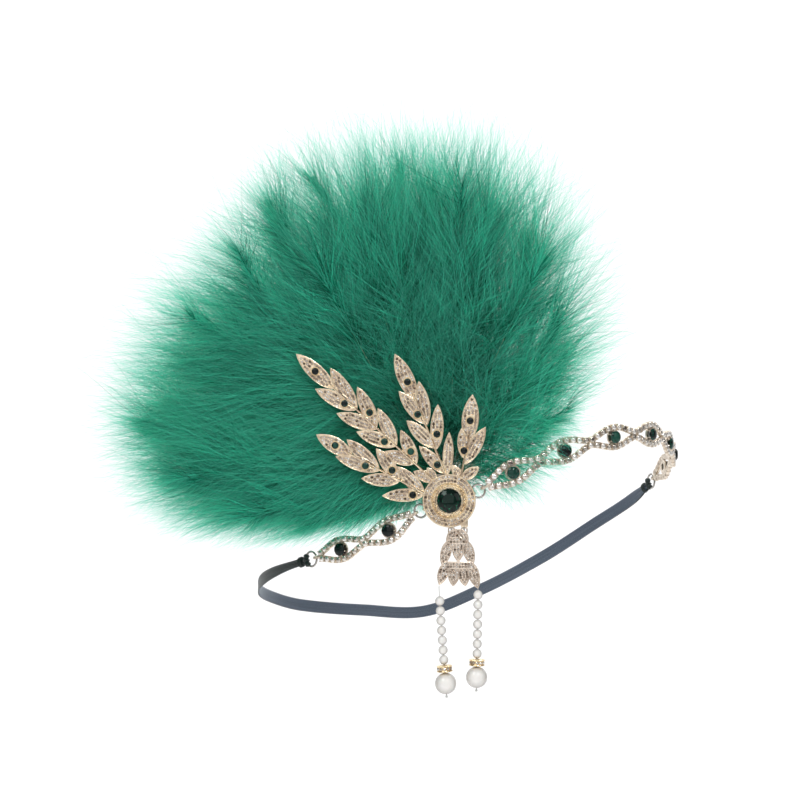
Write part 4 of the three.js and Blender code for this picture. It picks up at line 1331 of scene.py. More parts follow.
@dataclass
class Chains:
    """The openwork chains of cup-set stones, with their rings."""

    palette: Palette
    stones: Stones
    route: LoopRoute
    brooch: Brooch
    pitch: float = 24.4
    lobes: dict[Side, int] = field(default_factory=lambda: {Side.LEFT: 2, Side.RIGHT: 7})
    row_width: float = 2.4
    row_thickness: float = 2.2
    row_overlap: float = 0.2
    stone: float = 2.7
    stone_gap: float = 0.3
    stone_height: float = 1.9
    seat: float = 0.8
    seat_lap: float = 0.35
    lug_reach: float = 1.6
    cup_pitch: float = 3.0
    cup: float = 1.4
    cup_top: float = 0.45
    cup_corner: float = 0.4
    claw: float = 0.27
    claw_share: float = 1.14
    setting: float = 1.28
    setting_height: float = 1.4
    spine: float = 0.62
    ribbon_ring: float = 3.2

    METAL, CLEAR = range(2)

    def row_offset(self, place: float) -> float:
        """How far a row lies from the middle of the band."""
        lobe = self.stone + self.stone_gap + self.row_width / 2
        waist = self.row_width / 2 - self.row_overlap / 2
        swell = (1 - math.cos(FULL_TURN * place / self.pitch)) / 2
        return waist + (lobe - waist) * swell**0.8

    def row_place(self, row: int, place: float, start: float, way: int) -> Matrix:
        """A place on a row: x along it, z out from the head."""
        here = self.route.along(start + way * place)
        slope = (self.row_offset(place + 0.1) - self.row_offset(place - 0.1)) / 0.2
        sideways = (here.across - here.travel * (way * row * slope)).normalized()
        at = here.point + here.across * (row * self.row_offset(place))
        return placed(sideways.cross(here.out), sideways, at)

    def cup_shape(self) -> Shape:
        """A square cup with soft corners and four claws."""
        low, wide, top = -self.row_thickness / 2, 2 * self.cup, self.cup_top
        bm = block((wide, wide, top - low), (0, 0, (top + low) / 2), self.cup_corner)
        for i in range(4):
            out = moved(self.cup * self.claw_share, 0, top + 0.12)
            spot = turned(90 * i + 45) @ out @ sized(1.0, 1.0, 1.4)
            bmesh.ops.create_icosphere(bm, subdivisions=1, radius=self.claw, matrix=spot)
        return Shape.of(bm)

    def row_stations(self, row: int, start: float, way: int, lobes: int) -> list[Matrix]:
        """Evenly spaced places for the cups of a row."""
        fine = np.linspace(0.0, lobes * self.pitch, lobes * 60 + 1)
        points = [self.row_place(row, float(p), start, way).translation for p in fine]
        lengths = np.cumsum([0.0] + [(b - a).length for a, b in zip(points, points[1:])])
        count = round(lengths[-1] / self.cup_pitch)
        spots = np.interp([(i + 0.5) * lengths[-1] / count for i in range(count)], lengths, fine)
        return [self.row_place(row, float(p), start, way) for p in spots]

    def build_chain(self, side: Side, start: float) -> float:
        """Makes a chain.

        Args:
            side: The brooch's side.
            start: The arc length of its first lug.

        Returns:
            The arc length of its last lug.
        """
        way, lobes = side.value, self.lobes[side]
        first = start + way * self.lug_reach
        end = first + way * (lobes * self.pitch + self.lug_reach)
        pile = Pile(f"chain_{side.label}_cups", 20 + way)
        cup = self.cup_shape()
        floor = -self.row_thickness / 2
        for row in (1, -1):
            spots = self.row_stations(row, first, way, lobes)
            pile.add(cup, spots, self.METAL)
            size = sized(self.setting, self.setting, self.setting_height)
            settings = [
                spot @ moved(z=self.cup_top) @ turned(float(pile.rng.random()) * 45) @ size for spot in spots
            ]
            pile.add(self.stones.chaton, settings, self.CLEAR, smooth=False)
            count, whole = lobes * 16, lobes * self.pitch
            line = [self.row_place(row, whole * i / count, first, way) for i in range(count + 1)]
            points = [place @ Vector((0, 0, floor + 0.42)) for place in line]
            across = line[0].to_3x3() @ Vector((0, 1, 0))
            pile.add(swept(points, [self.spine] * len(points), 8, 0.66, across))
        darks = Pile(f"chain_{side.label}_dark_stones", 30 + way)
        names = []
        for lobe in range(lobes):
            here = self.route.along(first + way * (lobe + 0.5) * self.pitch)
            place = placed(here.across.cross(here.out), here.across, here.point)
            self.lay_seat(pile, place, floor)
            low = floor + self.seat + self.stone_gap
            cut = place @ moved(z=low + self.stone_height * 0.55) @ sized(self.stone)
            darks.add(self.stones.round_cut, [cut], 0, smooth=False)
            names.append(f"chain_stone_{side.label}_{lobe + 1}")
        brooch, reach = self.brooch, self.lug_reach + self.row_width * 0.6
        for at, facing in ((start, way), (end, -way)):
            here = self.route.along(at)
            foot = here.travel * facing
            place = placed(foot, here.across.cross(foot), here.point)
            for part in lug_parts(reach, brooch.wire + brooch.wire_gap, brooch.lug_wall):
                pile.add(part, [place], self.METAL)
        fitted(pile.piece([self.palette.chain_metal, self.palette.cupped]), Body.HEADBAND, Slot.CAST,
               [f"chain_{side.label}"])
        fitted(darks.piece([self.palette.dark]), Body.HEADBAND, Slot.DARK, names)
        return end

    def lay_seat(self, pile: Pile, place: Matrix, floor: float) -> None:
        """Lays a dark stone's open seat and its claws."""
        outer = self.stone + self.stone_gap + self.seat_lap
        pile.add(lathed([
            (1.6, floor), (outer - 0.1, floor), (outer, floor + 0.15), (outer, floor + self.seat - 0.15),
            (outer - 0.15, floor + self.seat), (1.6, floor + self.seat),
        ], 24, loop=True), [place], self.METAL)
        for i in range(6):
            turn = place @ turned(60 * i + 30)
            foot, tip = floor + self.seat * 0.6, 1.0
            line = [Vector((self.stone + 0.38, 0, foot)), Vector((self.stone + 0.36, 0, 0.1)),
                    Vector((self.stone + 0.16, 0, 0.62)), Vector((self.stone - 0.28, 0, tip))]
            pile.add(swept(line, [0.26, 0.24, 0.22, 0.17], 6), [turn], self.METAL)

    def lay_ring(
        self, name: str, middle: Vector, axis: Vector, radius: float, wire: float, body: Body = Body.HEADBAND,
    ) -> None:
        """Makes a jump ring with the cut where it was closed."""
        side = axis.orthogonal()
        pile = Pile(name + "_wire", 5)
        sides, start, count = 12, 4.0, 44
        turns = [math.radians(start + (360.0 - 2 * start) * i / count) for i in range(count + 1)]
        points = [Vector((radius * math.cos(a), radius * math.sin(a), 0.0)) for a in turns]
        pile.add(swept(points, [wire] * len(points), sides, across=Vector((0, 0, 1))),
                 [placed(side, axis.cross(side), middle)])
        fitted(pile.piece([self.palette.silver]), body, Slot.WIRE, [name])

    def build(self) -> dict[Side, float]:
        """Makes both chains and their rings.

        Returns:
            The arc length at the far side of each ribbon ring.
        """
        ends = {}
        for side in (Side.RIGHT, Side.LEFT):
            start, middle, axis, _ = self.brooch.tie(side)
            wire = self.brooch.wire
            self.lay_ring(f"brooch_ring_{side.label}", middle, axis, self.brooch.ring, wire)
            end = self.build_chain(side, start)
            tie = self.route.along(end + side.value * self.ribbon_ring)
            self.lay_ring(f"ribbon_ring_{side.label}", tie.point, tie.out, self.ribbon_ring, wire)
            ends[side] = end + side.value * 2 * self.ribbon_ring
        return ends


# The drop


@dataclass
class Drop:
    """The leaf plate under the halo, its rings and its two pearl strings."""

    palette: Palette
    stones: Stones
    brooch: Brooch
    chains: Chains
    top_gap: float = 0.6
    length: float = 25.4
    width: float = 15.8
    thickness: float = 1.2
    rim: float = 0.45
    rim_height: float = 0.5
    bar_width: float = 3.2
    pave_pitch: float = 1.22
    pave_radius: float = 0.56
    pearl: float = 1.93
    pearl_pitch: float = 4.12
    pearls: int = 7
    hole: float = 0.5
    thread: float = 0.25
    rondelle: float = 3.4
    rondelle_thickness: float = 3.0
    large_pearl: float = 4.5
    bead_gap: float = 0.25
    string_start: float = 0.35
    # how far each string hangs free, and how far its end sways aside
    hang: dict[Side, tuple[float, float]] = field(
        default_factory=lambda: {Side.LEFT: (4.6, 3.2), Side.RIGHT: (0.5, -0.7)})
    fullness: tuple[float, ...] = (1.1, 1.1, 1.1, 1.3, 1.3, 1.2, 1.2, 1.2, 1.2)
    # base, tip, width and the string that hangs there
    leaves: tuple = (
        ((0.04, 0.02), (-0.3, 0.25), 0.29, None), ((-0.04, 0.02), (0.27, 0.25), 0.29, None),
        ((0.01, 0.14), (0.01, 0.56), 0.29, None), ((-0.22, 0.18), (-0.42, 0.63), 0.22, None),
        ((0.19, 0.18), (0.4, 0.62), 0.23, None), ((-0.28, 0.54), (-0.5, 0.94), 0.24, Side.LEFT),
        ((-0.09, 0.6), (-0.13, 0.96), 0.25, None), ((0.12, 0.6), (0.2, 0.96), 0.25, None),
        ((0.32, 0.54), (0.54, 1.0), 0.25, Side.RIGHT),
    )
    bars: tuple = (((-0.38, 0.61), (0.4, 0.61)), ((-0.22, 0.2), (0.2, 0.2)))

    GOLD, CLEAR = range(2)

    def spot(self, shares: tuple[float, float]) -> Vector:
        """A point of the drop from its shares of width and length."""
        middle = sum(HINGE.eyes.values()) / 2
        top = -self.brooch.halo - self.top_gap
        return Vector((middle + shares[0] * self.width, top - shares[1] * self.length, 0.0))

    def build_plate(self) -> None:
        """Makes the leaf plate with its pave and its eyes."""
        pile = Pile("drop_plate_cast", 41, self.brooch.frame)
        back = HINGE.depth - self.thickness / 2
        for i, (base_share, tip_share, width, _) in enumerate(self.leaves):
            base, tip = self.spot(base_share), self.spot(tip_share)
            full = width * self.width * self.fullness[i]
            leaf = LeafCut((tip - base).length, full, self.thickness, self.rim, self.rim_height)
            turn = math.degrees(math.atan2(tip.y - base.y, tip.x - base.x))
            place = moved(base.x, base.y, back + 0.2 * (i % 2)) @ turned(turn)
            pile.add(leaf.plate(), [place], self.GOLD)
            spots = leaf.stones(self.pave_pitch, None, 0.0)
            studded(pile, self.stones, [place @ moved(x, y, self.thickness + 0.16) for x, y in spots],
                    self.pave_radius, self.CLEAR)
        for start_share, end_share in self.bars:
            start, end = self.spot(start_share), self.spot(end_share)
            self.lay_bar(pile, start, end, back)
        for x in HINGE.eyes.values():
            self.lay_eye(pile, x)
        finishes = [self.palette.pale_gold, self.palette.clear]
        fitted(pile.piece(finishes), Body.DROP, Slot.CAST, ["drop_plate"])

    def lay_bar(self, pile: Pile, start: Vector, end: Vector, back: float) -> None:
        """Lays a crossbar with stones between the leaves."""
        middle = (start + end) / 2
        deep = self.thickness + 0.75
        size = ((end - start).length, self.bar_width, deep)
        pile.add(block(size, (middle.x, middle.y, back - 0.2 + deep / 2), 0.3))
        count = int((end - start).length / self.pave_pitch)
        rows = [(i, k) for k in (-0.5, 0.5) for i in range(count)]
        high = back + self.thickness + 0.69
        spots = [start.lerp(end, (i + 0.5) / count) + Vector((0, k * self.pave_pitch, high)) for i, k in rows]
        studded(pile, self.stones, [moved(*spot) for spot in spots], self.pave_radius, self.CLEAR)

    def lay_eye(self, pile: Pile, x: float) -> None:
        """Lays a rounded wire eye at the top of the drop."""
        hinge = HINGE
        side = hinge.eye_width / 2 + hinge.bar / 2
        top = hinge.drop_top
        low = top - hinge.eye_height - hinge.bar
        line = hairpin(x, side, low, top, 0.4, 0.12)
        points = [Vector((across, high, hinge.depth)) for across, high in line]
        wire = swept(points, [hinge.bar / 2] * len(points), 10, across=Vector((0, 0, 1)))
        pile.add(wire)
        foot = [Vector((x - side, low, hinge.depth)), Vector((x + side, low, hinge.depth))]
        pile.add(swept(foot, [hinge.bar / 2] * 2, 10))

    def bead(self, radius: float, half: float, arc: int, steps: int) -> Bmesh:
        """A bead drilled along z."""
        start = math.asin(self.hole / radius)
        profile = []
        for i in range(arc + 1):
            turn = start + (math.pi - 2 * start) * i / arc
            profile.append((radius * math.sin(turn), -half * math.cos(turn) / math.cos(start)))
        return lathed(profile, steps, loop=True)

    def lay_rondelle(self, pile: Pile, place: Matrix) -> None:
        """Lays a rondelle: two rolled discs with a ring of stones between them."""
        half, out = self.rondelle_thickness / 2, self.rondelle
        pile.add(lathed([
            (self.hole, -half), (out * 0.72, -half), (out * 0.9, -half + 0.12), (out, -half + 0.42),
            (out * 0.97, -half + 0.72), (out * 0.84, -half + 0.86), (out * 0.84, half - 0.86),
            (out * 0.97, half - 0.72), (out, half - 0.42), (out * 0.9, half - 0.12), (out * 0.72, half),
            (self.hole, half),
        ], 36, loop=True), [place], self.GOLD)
        count = 12
        seat = moved(out * 0.86, 0, 0) @ turned(90, "Y") @ turned(22.5) @ sized(0.66)
        ring = [place @ turned(360 * i / count) @ seat for i in range(count)]
        pile.add(self.stones.chaton, ring, self.CLEAR, smooth=False)

    def build_string(self, side: Side, tip: Vector) -> None:
        """Makes a pearl string under a leaf's tip.

        Args:
            side: The string's side.
            tip: The leaf's tip in the brooch's frame.
        """
        free, sway = self.hang[side]
        small = [("pearl", self.pearl, self.pearl, self.pearl_pitch)] * self.pearls
        thick = self.rondelle_thickness
        beads = small + [
            ("rondelle", self.rondelle, thick / 2, thick + self.bead_gap),
            ("large_pearl", self.large_pearl, self.large_pearl, 2 * self.large_pearl + self.bead_gap),
        ]
        whole = sum(bead[3] for bead in beads) + free

        def point(depth: float) -> Vector:
            """The string's point at a depth under the tip."""
            return Vector((tip.x + sway * (max(depth, 0.0) / whole) ** 1.2, tip.y - depth, HINGE.depth))

        frame = self.brooch.frame
        pearls = Pile(f"pearls_{side.label}_string", 50 + side.value, frame)
        large = Pile(f"end_pearl_{side.label}", 54 + side.value, frame)
        collar = Pile(f"rondelle_{side.label}_set", 58 + side.value, frame)
        small_shape = Shape.of(self.bead(self.pearl, self.pearl, 18, 28))
        down = free
        for kind, radius, half, pitch in beads:
            middle = down + pitch / 2
            along = (point(middle - 0.5) - point(middle + 0.5)).normalized()
            x = Vector((along.y, -along.x, 0.0))
            place = placed(x, along.cross(x), point(middle))
            if kind == "pearl":
                pearls.add(small_shape, [place])
            elif kind == "rondelle":
                self.lay_rondelle(collar, place)
            else:
                large.add(self.bead(radius, half, 30, 44), [place])
            down += pitch
        colours = self.palette
        names = [f"pearl_{side.label}_{i + 1}" for i in range(self.pearls)]
        fitted(pearls.piece([colours.pearl]), Body.DROP, Slot.PEARL, names)
        fitted(large.piece([colours.pearl]), Body.DROP, Slot.PEARL, [f"large_pearl_{side.label}"])
        rondelle = collar.piece([colours.deep_gold, colours.clear])
        fitted(rondelle, Body.DROP, Slot.CAST, [f"rondelle_{side.label}"])
        self.build_thread(side, point, down + self.hole * 2)

    def build_thread(self, side: Side, point: Callable[[float], Vector], tail: float) -> None:
        """Makes a string's thread with the knot at its end."""
        pile = Pile(f"thread_{side.label}_spun", 62 + side.value, self.brooch.frame)
        count = 40
        start = self.string_start
        points = [point(start + (tail - start) * i / count) for i in range(count + 1)]
        pile.add(swept(points, [self.thread] * len(points), 8))
        for lift, size in ((0.0, 0.62), (0.35, 0.5)):
            knot = ring_shape(size * 0.55, size * 0.5, 16, 8)
            pile.add(knot, [moved(*point(tail - lift)) @ turned(70, "X")])
        fitted(pile.piece([self.palette.thread]), Body.DROP, Slot.THREAD, [f"thread_{side.label}"])

    def build(self) -> None:
        """Makes the drop."""
        self.build_plate()
        frame = self.brooch.frame
        for side, x in HINGE.eyes.items():
            middle = Vector((x, HINGE.height + HINGE.reach - HINGE.ring, HINGE.depth))
            axis = Vector((1, 0, 0))
            self.chains.lay_ring(
                f"drop_ring_{side.label}", frame @ middle, axis, HINGE.ring, HINGE.wire, Body.DROP)
        for _, tip, _, side in self.leaves:
            if side:
                self.build_string(side, self.spot(tip))


# The ribbon


@dataclass
class Ribbon:
    """The satin ribbon folded lengthwise, from ring to ring round the back, and its knots."""

    palette: Palette
    route: LoopRoute
    chains: Chains
    width: float = 5.4
    cloth: float = 0.22
    slit: float = 0.32
    step: float = 2.0
    strips: int = 12
    inset: float = 1.05
    knot: float = 1.75
    right_gather: float = 3.0
    # places from an end, then width and thickness there as shares
    gathers: tuple = ((0.0, 12.0, 26.0, 40.0), (0.5, 0.6, 0.85, 1.0), (2.2, 2.0, 1.5, 1.0))

    def gather(self, place: float) -> tuple[float, float]:
        """Width and thickness, as shares, at a place from an end."""
        places, widths, thicknesses = self.gathers
        return float(np.interp(place, places, widths)), float(np.interp(place, places, thicknesses))

    def build(self, ends: dict[Side, float]) -> None:
        """Makes the ribbon and its knots.

        Args:
            ends: The arc length at each ribbon ring's far side.
        """
        length = ends[Side.LEFT] + self.route.whole - ends[Side.RIGHT]
        cloth = self.build_cloth(ends[Side.RIGHT], length)
        knots = self.build_knots(ends)

    def build_cloth(self, start: float, length: float) -> Object:
        """Makes the folded cloth from one strip of faces, with its own map."""
        rng = np.random.default_rng(70)
        waves = rng.random((6, 3))
        count = round((length - 2 * self.inset) / self.step)
        bm = bmesh.new()
        uv = bm.loops.layers.uv.new("Cloth")
        rows = []
        for i in range(count + 1):
            place = self.inset + (length - 2 * self.inset) * i / count
            here = self.route.along(start + place)
            near = min(place * self.right_gather, length - place)
            wide, thick = self.gather(near)
            rows.append(self.section(here, place, wide, thick, waves))
        line = [bm.verts.new(point) for point in rows[0]]
        edges = [bm.edges.new(pair) for pair in zip(line, line[1:])]
        net = [line]
        for row in rows[1:]:
            made = bmesh.ops.extrude_edge_only(bm, edges=edges)["geom"]
            fresh = {v for v in made if isinstance(v, Vert)}
            line = [next(e.other_vert(v) for e in v.link_edges if e.other_vert(v) in fresh) for v in line]
            for vert, point in zip(line, row):
                vert.co = point
            net.append(line)
            edges = [e for e in made if isinstance(e, Edge) and all(v in fresh for v in e.verts)]
        self.map_cloth(bm, uv, net)
        bmesh.ops.recalc_face_normals(bm, faces=bm.faces[:])
        piece = draped(bm, "ribbon_satin", self.palette.satin)
        wall = piece.modifiers.new("Cloth thickness", "SOLIDIFY")
        wall.thickness = self.cloth * MM
        wall.offset = 0.0
        return fitted(piece, Body.HEADBAND, Slot.RIBBON, ["ribbon"])

    def section(
        self, here: Station, place: float, wide: float, thick: float, waves: np.ndarray,
    ) -> list[Vector]:
        """The cloth's section: along the outer ply, round the fold and back along the inner ply.

        Args:
            here: The station.
            place: How far along the ribbon it is.
            wide: The ply's width as a share.
            thick: The bundle's thickness as a share.
            waves: Six random waves for the cloth's unevenness.

        Returns:
            The section's points.
        """
        half = self.width / 2 * wide
        gap = (self.slit + self.cloth) / 2 * (1.0 + 0.5 * (thick - 1.0))
        pleat = 0.42 * (thick - 1.0)
        points = []
        strips = self.strips
        for ply in (1, -1):
            for k in range(strips + 1):
                share = k / strips * 2 - 1
                across = half * share * (1.0 if ply == 1 else -0.97)
                tight = 2.4 if (share > 0) == (ply == 1) else 0.8
                pinch = 1.0 - max(0.0, abs(share) - 0.75) * tight
                wave = sum(
                    (0.10 + 0.05 * w[0])
                    * math.sin(place * (0.035 + 0.09 * w[1]) + w[2] * FULL_TURN + share * 1.3)
                    for w in waves
                ) / 3
                fold = pleat * math.cos(share * math.pi * 2.5 + place * 0.05) * 0.5
                out = ply * gap * max(pinch, 0.35) + wave + fold
                points.append(here.point + here.across * across + here.out * out)
        return points

    def map_cloth(
        self, bm: Bmesh, uv: bmesh.types.BMLayerItem, net: list[list[Vert]],
    ) -> None:
        """Writes the cloth's map: across from 0 to 1, and along in metres."""
        spots = {
            vert: (column / (len(line) - 1), row * self.step * MM)
            for row, line in enumerate(net) for column, vert in enumerate(line)
        }
        for face in bm.faces:
            for loop in face.loops:
                loop[uv].uv = spots[loop.vert]

    def build_knots(self, ends: dict[Side, float]) -> Object:
        """Makes the turns of ribbon round the rings and the bands that bind them."""
        pile = Pile("ribbon_knots", 72)
        ring = self.chains.ribbon_ring
        for side in Side:
            way = side.value
            centre = self.route.along(ends[side] - way * ring)
            outward = centre.travel * way
            for lift, span, size in ((0.0, 50.0, 1.0), (0.25, 34.0, 0.86)):
                shares = [i / 8 * 2 - 1 for i in range(9)]
                points = [
                    centre.point + outward * ((ring + lift) * math.cos(math.radians(s * span)))
                    + centre.across * (ring * math.sin(math.radians(s * span))) for s in shares
                ]
                full = self.knot * size
                radii = [full * (0.8 + 0.2 * math.cos(s * 9.0)) * (1 - 0.25 * s * s) for s in shares]
                pile.add(swept(points, radii, 14, flat=0.86, across=centre.out))
            bind = self.route.along(ends[side] + way * 3.4)
            place = placed(bind.across, bind.out, bind.point)
            for shift in (-0.75, 0.0, 0.75):
                pile.add(ring_shape(1.0, 0.33, 28, 8), [
                    place @ moved(z=shift * 0.9) @ turned(shift * 9, "X") @ sized(1.75, 1.35, 1.3)])
        piece = pile.piece([self.palette.knot])
        piece.data.uv_layers.new(name="Cloth")
        return fitted(piece, Body.HEADBAND, Slot.RIBBON)


# The plume


@dataclass
class Plume:
    """The fan of dyed down held behind the halo."""

    palette: Palette
    brooch: Brooch
    head: float = 3.6
    head_height: float = 8.0
    rise: float = 7.0
    depth: float = -6.9
    quills: int = 52
    barbs: int = 19000
    pieces: int = 4
    segments: int = 5
    barb_width: float = 0.14
    clump: int = 11
    wisps: float = 0.16
    flare: tuple[float, float, float] = (-4.0, 62.0, 62.0)
    sway: tuple[float, float, float] = (8.0, 8.0, 5.0)
    spread: tuple[float, float] = (196.0, 22.0)
    back_limit: float = -33.0
    top_limit: float = 181.0
    left_limit: float = -168.2
    front_free: float = 74.0
    front_slope: float = 0.1
    # heading from +X in degrees and how far the down reaches there
    envelope: tuple = (
        (-95, 12), (-45, 16), (-18, 42), (0, 50), (14, 58), (26, 68), (33, 94), (45, 116), (54, 132),
        (62, 144), (72, 156), (84, 164), (93, 163), (107, 169), (121, 166), (132, 158), (140, 158),
        (149, 160), (156, 160), (167, 158), (174, 153), (184, 143), (192, 126), (200, 90), (209, 58),
        (225, 22), (265, 12),
    )
    # headings, then how gradually the down thins out at its edge
    looseness: tuple = (
        (-95, 15, 32, 62, 82, 105, 123, 140, 170, 200, 265),
        (0.1, 0.18, 0.4, 0.38, 0.24, 0.21, 0.3, 0.24, 0.2, 0.18, 0.1),
    )
    # headings, then how densely the barbs stand and how much lighter they are painted there, as painted light
    # strongest on the right
    crowding: tuple = ((30, 55, 80), (0.34, 0.45, 0.95))
    painted_light: tuple = ((20, 45, 70, 110, 150, 200), (0.45, 0.36, 0.1, 0.02, 0.1, 0.16))
    # a barb's mean shade and its spread, its length at the quill's foot and what it gains by the tip
    shade: tuple[float, float] = (0.42, 0.36)
    barb_length: tuple[float, float] = (27.0, 38.0)
    # how far a barb opens from its quill in degrees at the foot, and how much less at the tip
    splay: tuple[float, float] = (62.0, 34.0)

    def reach_at(self, heading: np.ndarray) -> np.ndarray:
        """How far the down reaches at some headings, in degrees."""
        rows = np.array(self.envelope, float)
        return np.interp((heading + 95.0) % 360.0 - 95.0, rows[:, 0], rows[:, 1])

    def front_at(self, radius: np.ndarray) -> np.ndarray:
        """How far forward the down may stand at some distances from the head of the plume."""
        return -1.1 + np.clip(radius - self.front_free, 0.0, None) * self.front_slope

    def quill_rows(self) -> list[dict[str, float]]:
        """Heading, reach, bow and lean of every quill."""
        rng = np.random.default_rng(80)
        rows = []
        for i in range(self.quills):
            share = (i + 0.5) / self.quills
            heading = self.spread[0] + (self.spread[1] - self.spread[0]) * share + float(rng.normal(0, 2.2))
            reach = float(self.reach_at(np.array([heading]))[0])
            rows.append({
                "heading": heading,
                "reach": reach * float(rng.uniform(0.58, 0.86)) * (0.84 if heading < 70.0 else 1.0),
                "bow": float(rng.normal(0.0, 0.035)) - 0.03 * math.cos(math.radians(heading)),
                "lean": float(rng.uniform(-0.1, 0.1)) + (0.05 if i % 2 else -0.03),
            })
        return rows

    def on_quill(self, row: dict[str, float], share: np.ndarray) -> tuple[np.ndarray, np.ndarray]:
        """Points and directions along a quill, in the brooch's frame.

        Args:
            row: The quill.
            share: Shares of its reach.

        Returns:
            The points and the unit directions.
        """
        def at(t: np.ndarray) -> np.ndarray:
            """The quill's points."""
            angle = math.radians(row["heading"])
            ahead = np.array([math.cos(angle), math.sin(angle), 0.0])
            aside = np.array([-math.sin(angle), math.cos(angle), 0.0])
            reach = row["reach"]
            back = -reach * (row["lean"] * t * t + 0.075 * np.sin(math.pi * np.clip(t, 0, 1)))
            points = ahead * (reach * t)[:, None] + aside * (row["bow"] * reach * 4 * t * (1 - t))[:, None]
            points[:, 2] += back
            return points + np.array([0.0, self.rise, self.depth])

        ahead = at(share + 0.01) - at(share - 0.01)
        return at(share), ahead / np.linalg.norm(ahead, axis=1, keepdims=True)

    def barb_lines(
        self, rng: np.random.Generator, rows: list[dict[str, float]], count: int,
    ) -> tuple[np.ndarray, ...]:
        """The middle lines of some barbs.

        Args:
            rng: Seeds them.
            rows: The quills.
            count: How many barbs.

        Returns:
            Points of each barb, each barb's shade from 0 to 1, and its width as a share.
        """
        clumps = -(-count // self.clump)
        weights = np.array([row["reach"] * np.interp(row["heading"], *self.crowding) for row in rows])
        quill = rng.choice(len(rows), clumps, p=weights / weights.sum())
        place = rng.beta(1.6, 1.05, clumps) * 0.97 + 0.03
        around = np.where(rng.random(clumps) < 0.5, 0.0, math.pi) + rng.normal(0.0, 0.85, clumps)
        sway = rng.normal(0.0, 1.0, (clumps, 3)) * np.array(self.sway)
        headings = np.array([row["heading"] for row in rows])[quill]
        # painted light: barbs painted lighter by heading, most on the right
        lit = np.interp(headings, *self.painted_light)
        # painted shade: barbs near the quill feet, behind the top of the brooch, painted darker
        near = np.exp(-((headings - 88.0) / 26.0) ** 2) * np.clip(1.25 - place * 1.6, 0.0, 1.0)
        tone = np.clip(rng.normal(*self.shade, clumps) + lit - 0.5 * near, 0.02, 0.98)
        bend = rng.normal(0.0, 15.0, clumps)
        which = np.repeat(np.arange(clumps), self.clump)[:count]
        wisp = rng.random(count) < self.wisps
        t = np.clip(place[which] + rng.normal(0.0, 0.02, count), 0.02, 1.0)
        roots, ahead = np.zeros((count, 3)), np.zeros((count, 3))
        for i, row in enumerate(rows):
            mine = quill[which] == i
            if mine.any():
                roots[mine], ahead[mine] = self.on_quill(row, t[mine])
        side = np.cross(ahead, [0.0, 0.0, 1.0])
        side /= np.linalg.norm(side, axis=1, keepdims=True)
        normal = np.cross(side, ahead)
        turn = around[which] + rng.normal(0.0, 0.2, count)
        opening = self.splay[0] - self.splay[1] * t**1.5 + bend[which] * (0.7 + 0.5 * t)
        splay = np.radians(opening + rng.normal(0.0, 7.0, count))
        away = side * np.cos(turn)[:, None] + normal * (np.sin(turn) * 0.75)[:, None]
        first = ahead * np.cos(splay)[:, None] + away * np.sin(splay)[:, None]
        short, gain = self.barb_length
        length = (short + gain * np.clip(t, 0, 1) ** 0.8) * rng.uniform(0.55, 1.25, count)
        length = np.where(wisp, length * 1.4, length)
        middle_x, middle_y, far = self.flare
        outward = roots - np.array([middle_x, middle_y, 0.0])
        outward[:, 2] = 0.0
        spread = np.linalg.norm(outward, axis=1, keepdims=True)
        outward *= np.clip(spread / far, 0.0, 1.0) / (spread + 1e-9)
        last = ahead * 0.32 + first * 0.5 + outward * 0.75 + rng.normal(0.0, 0.12, (count, 3))
        last[:, 1] -= 0.1
        s = np.linspace(0.0, 1.0, self.segments + 1)[None, :, None]
        curl = rng.normal(0.0, 1.0, (count, 1, 3)) * np.where(wisp, 2.0, 1.2)[:, None, None]
        pace = rng.uniform(3.0, 7.0, (count, 1, 1))
        wobble = np.sin(s * pace + rng.uniform(0, FULL_TURN, (count, 1, 1))) * curl * s

        def lines(length: np.ndarray) -> np.ndarray:
            """The barbs' points for some lengths."""
            reach = length[:, None, None]
            straight = first[:, None, :] * s + (last - first)[:, None, :] * s**2 * 0.5
            share = reach / 40.0
            return roots[:, None, :] + straight * reach + (sway[which][:, None, :] * s**2 + wobble) * share

        points = lines(length)
        tips = points[:, -1, :] - np.array([0.0, self.rise, 0.0])
        radius = np.hypot(tips[:, 0], tips[:, 1])
        towards = (np.degrees(np.arctan2(tips[:, 1], tips[:, 0])) + 95.0) % 360.0 - 95.0
        loose = np.interp(towards, *self.looseness)
        stray = 1.05 - rng.uniform(0.0, 1.0, count) * loose
        edge = np.where(wisp, stray, 0.99 - np.abs(rng.normal(0, 1.0, count)) * loose)
        limit = self.reach_at(towards) * edge
        length = np.clip(length - np.clip(radius - limit, 0.0, None), 8.0, None)
        points = lines(length)
        far = np.hypot(points[..., 0], points[..., 1] - self.rise)
        front = self.front_at(far)
        over = np.clip(points[..., 2] - front, 0.0, None)
        points[..., 2] -= over * 1.15
        points[..., 2] = np.maximum(points[..., 2], self.back_limit)
        points[..., 1] = np.minimum(points[..., 1], self.top_limit)
        points[..., 0] = np.maximum(points[..., 0], self.left_limit)
        # each barb's shade: its clump's random tone with the painted light and shade above, its own random
        # tone, the wisps a little paler
        shade = np.clip(tone[which] + rng.normal(0.0, 0.2, count) + wisp * 0.1, 0.02, 0.98)
        return points, shade, np.where(wisp, 0.8, 1.0)

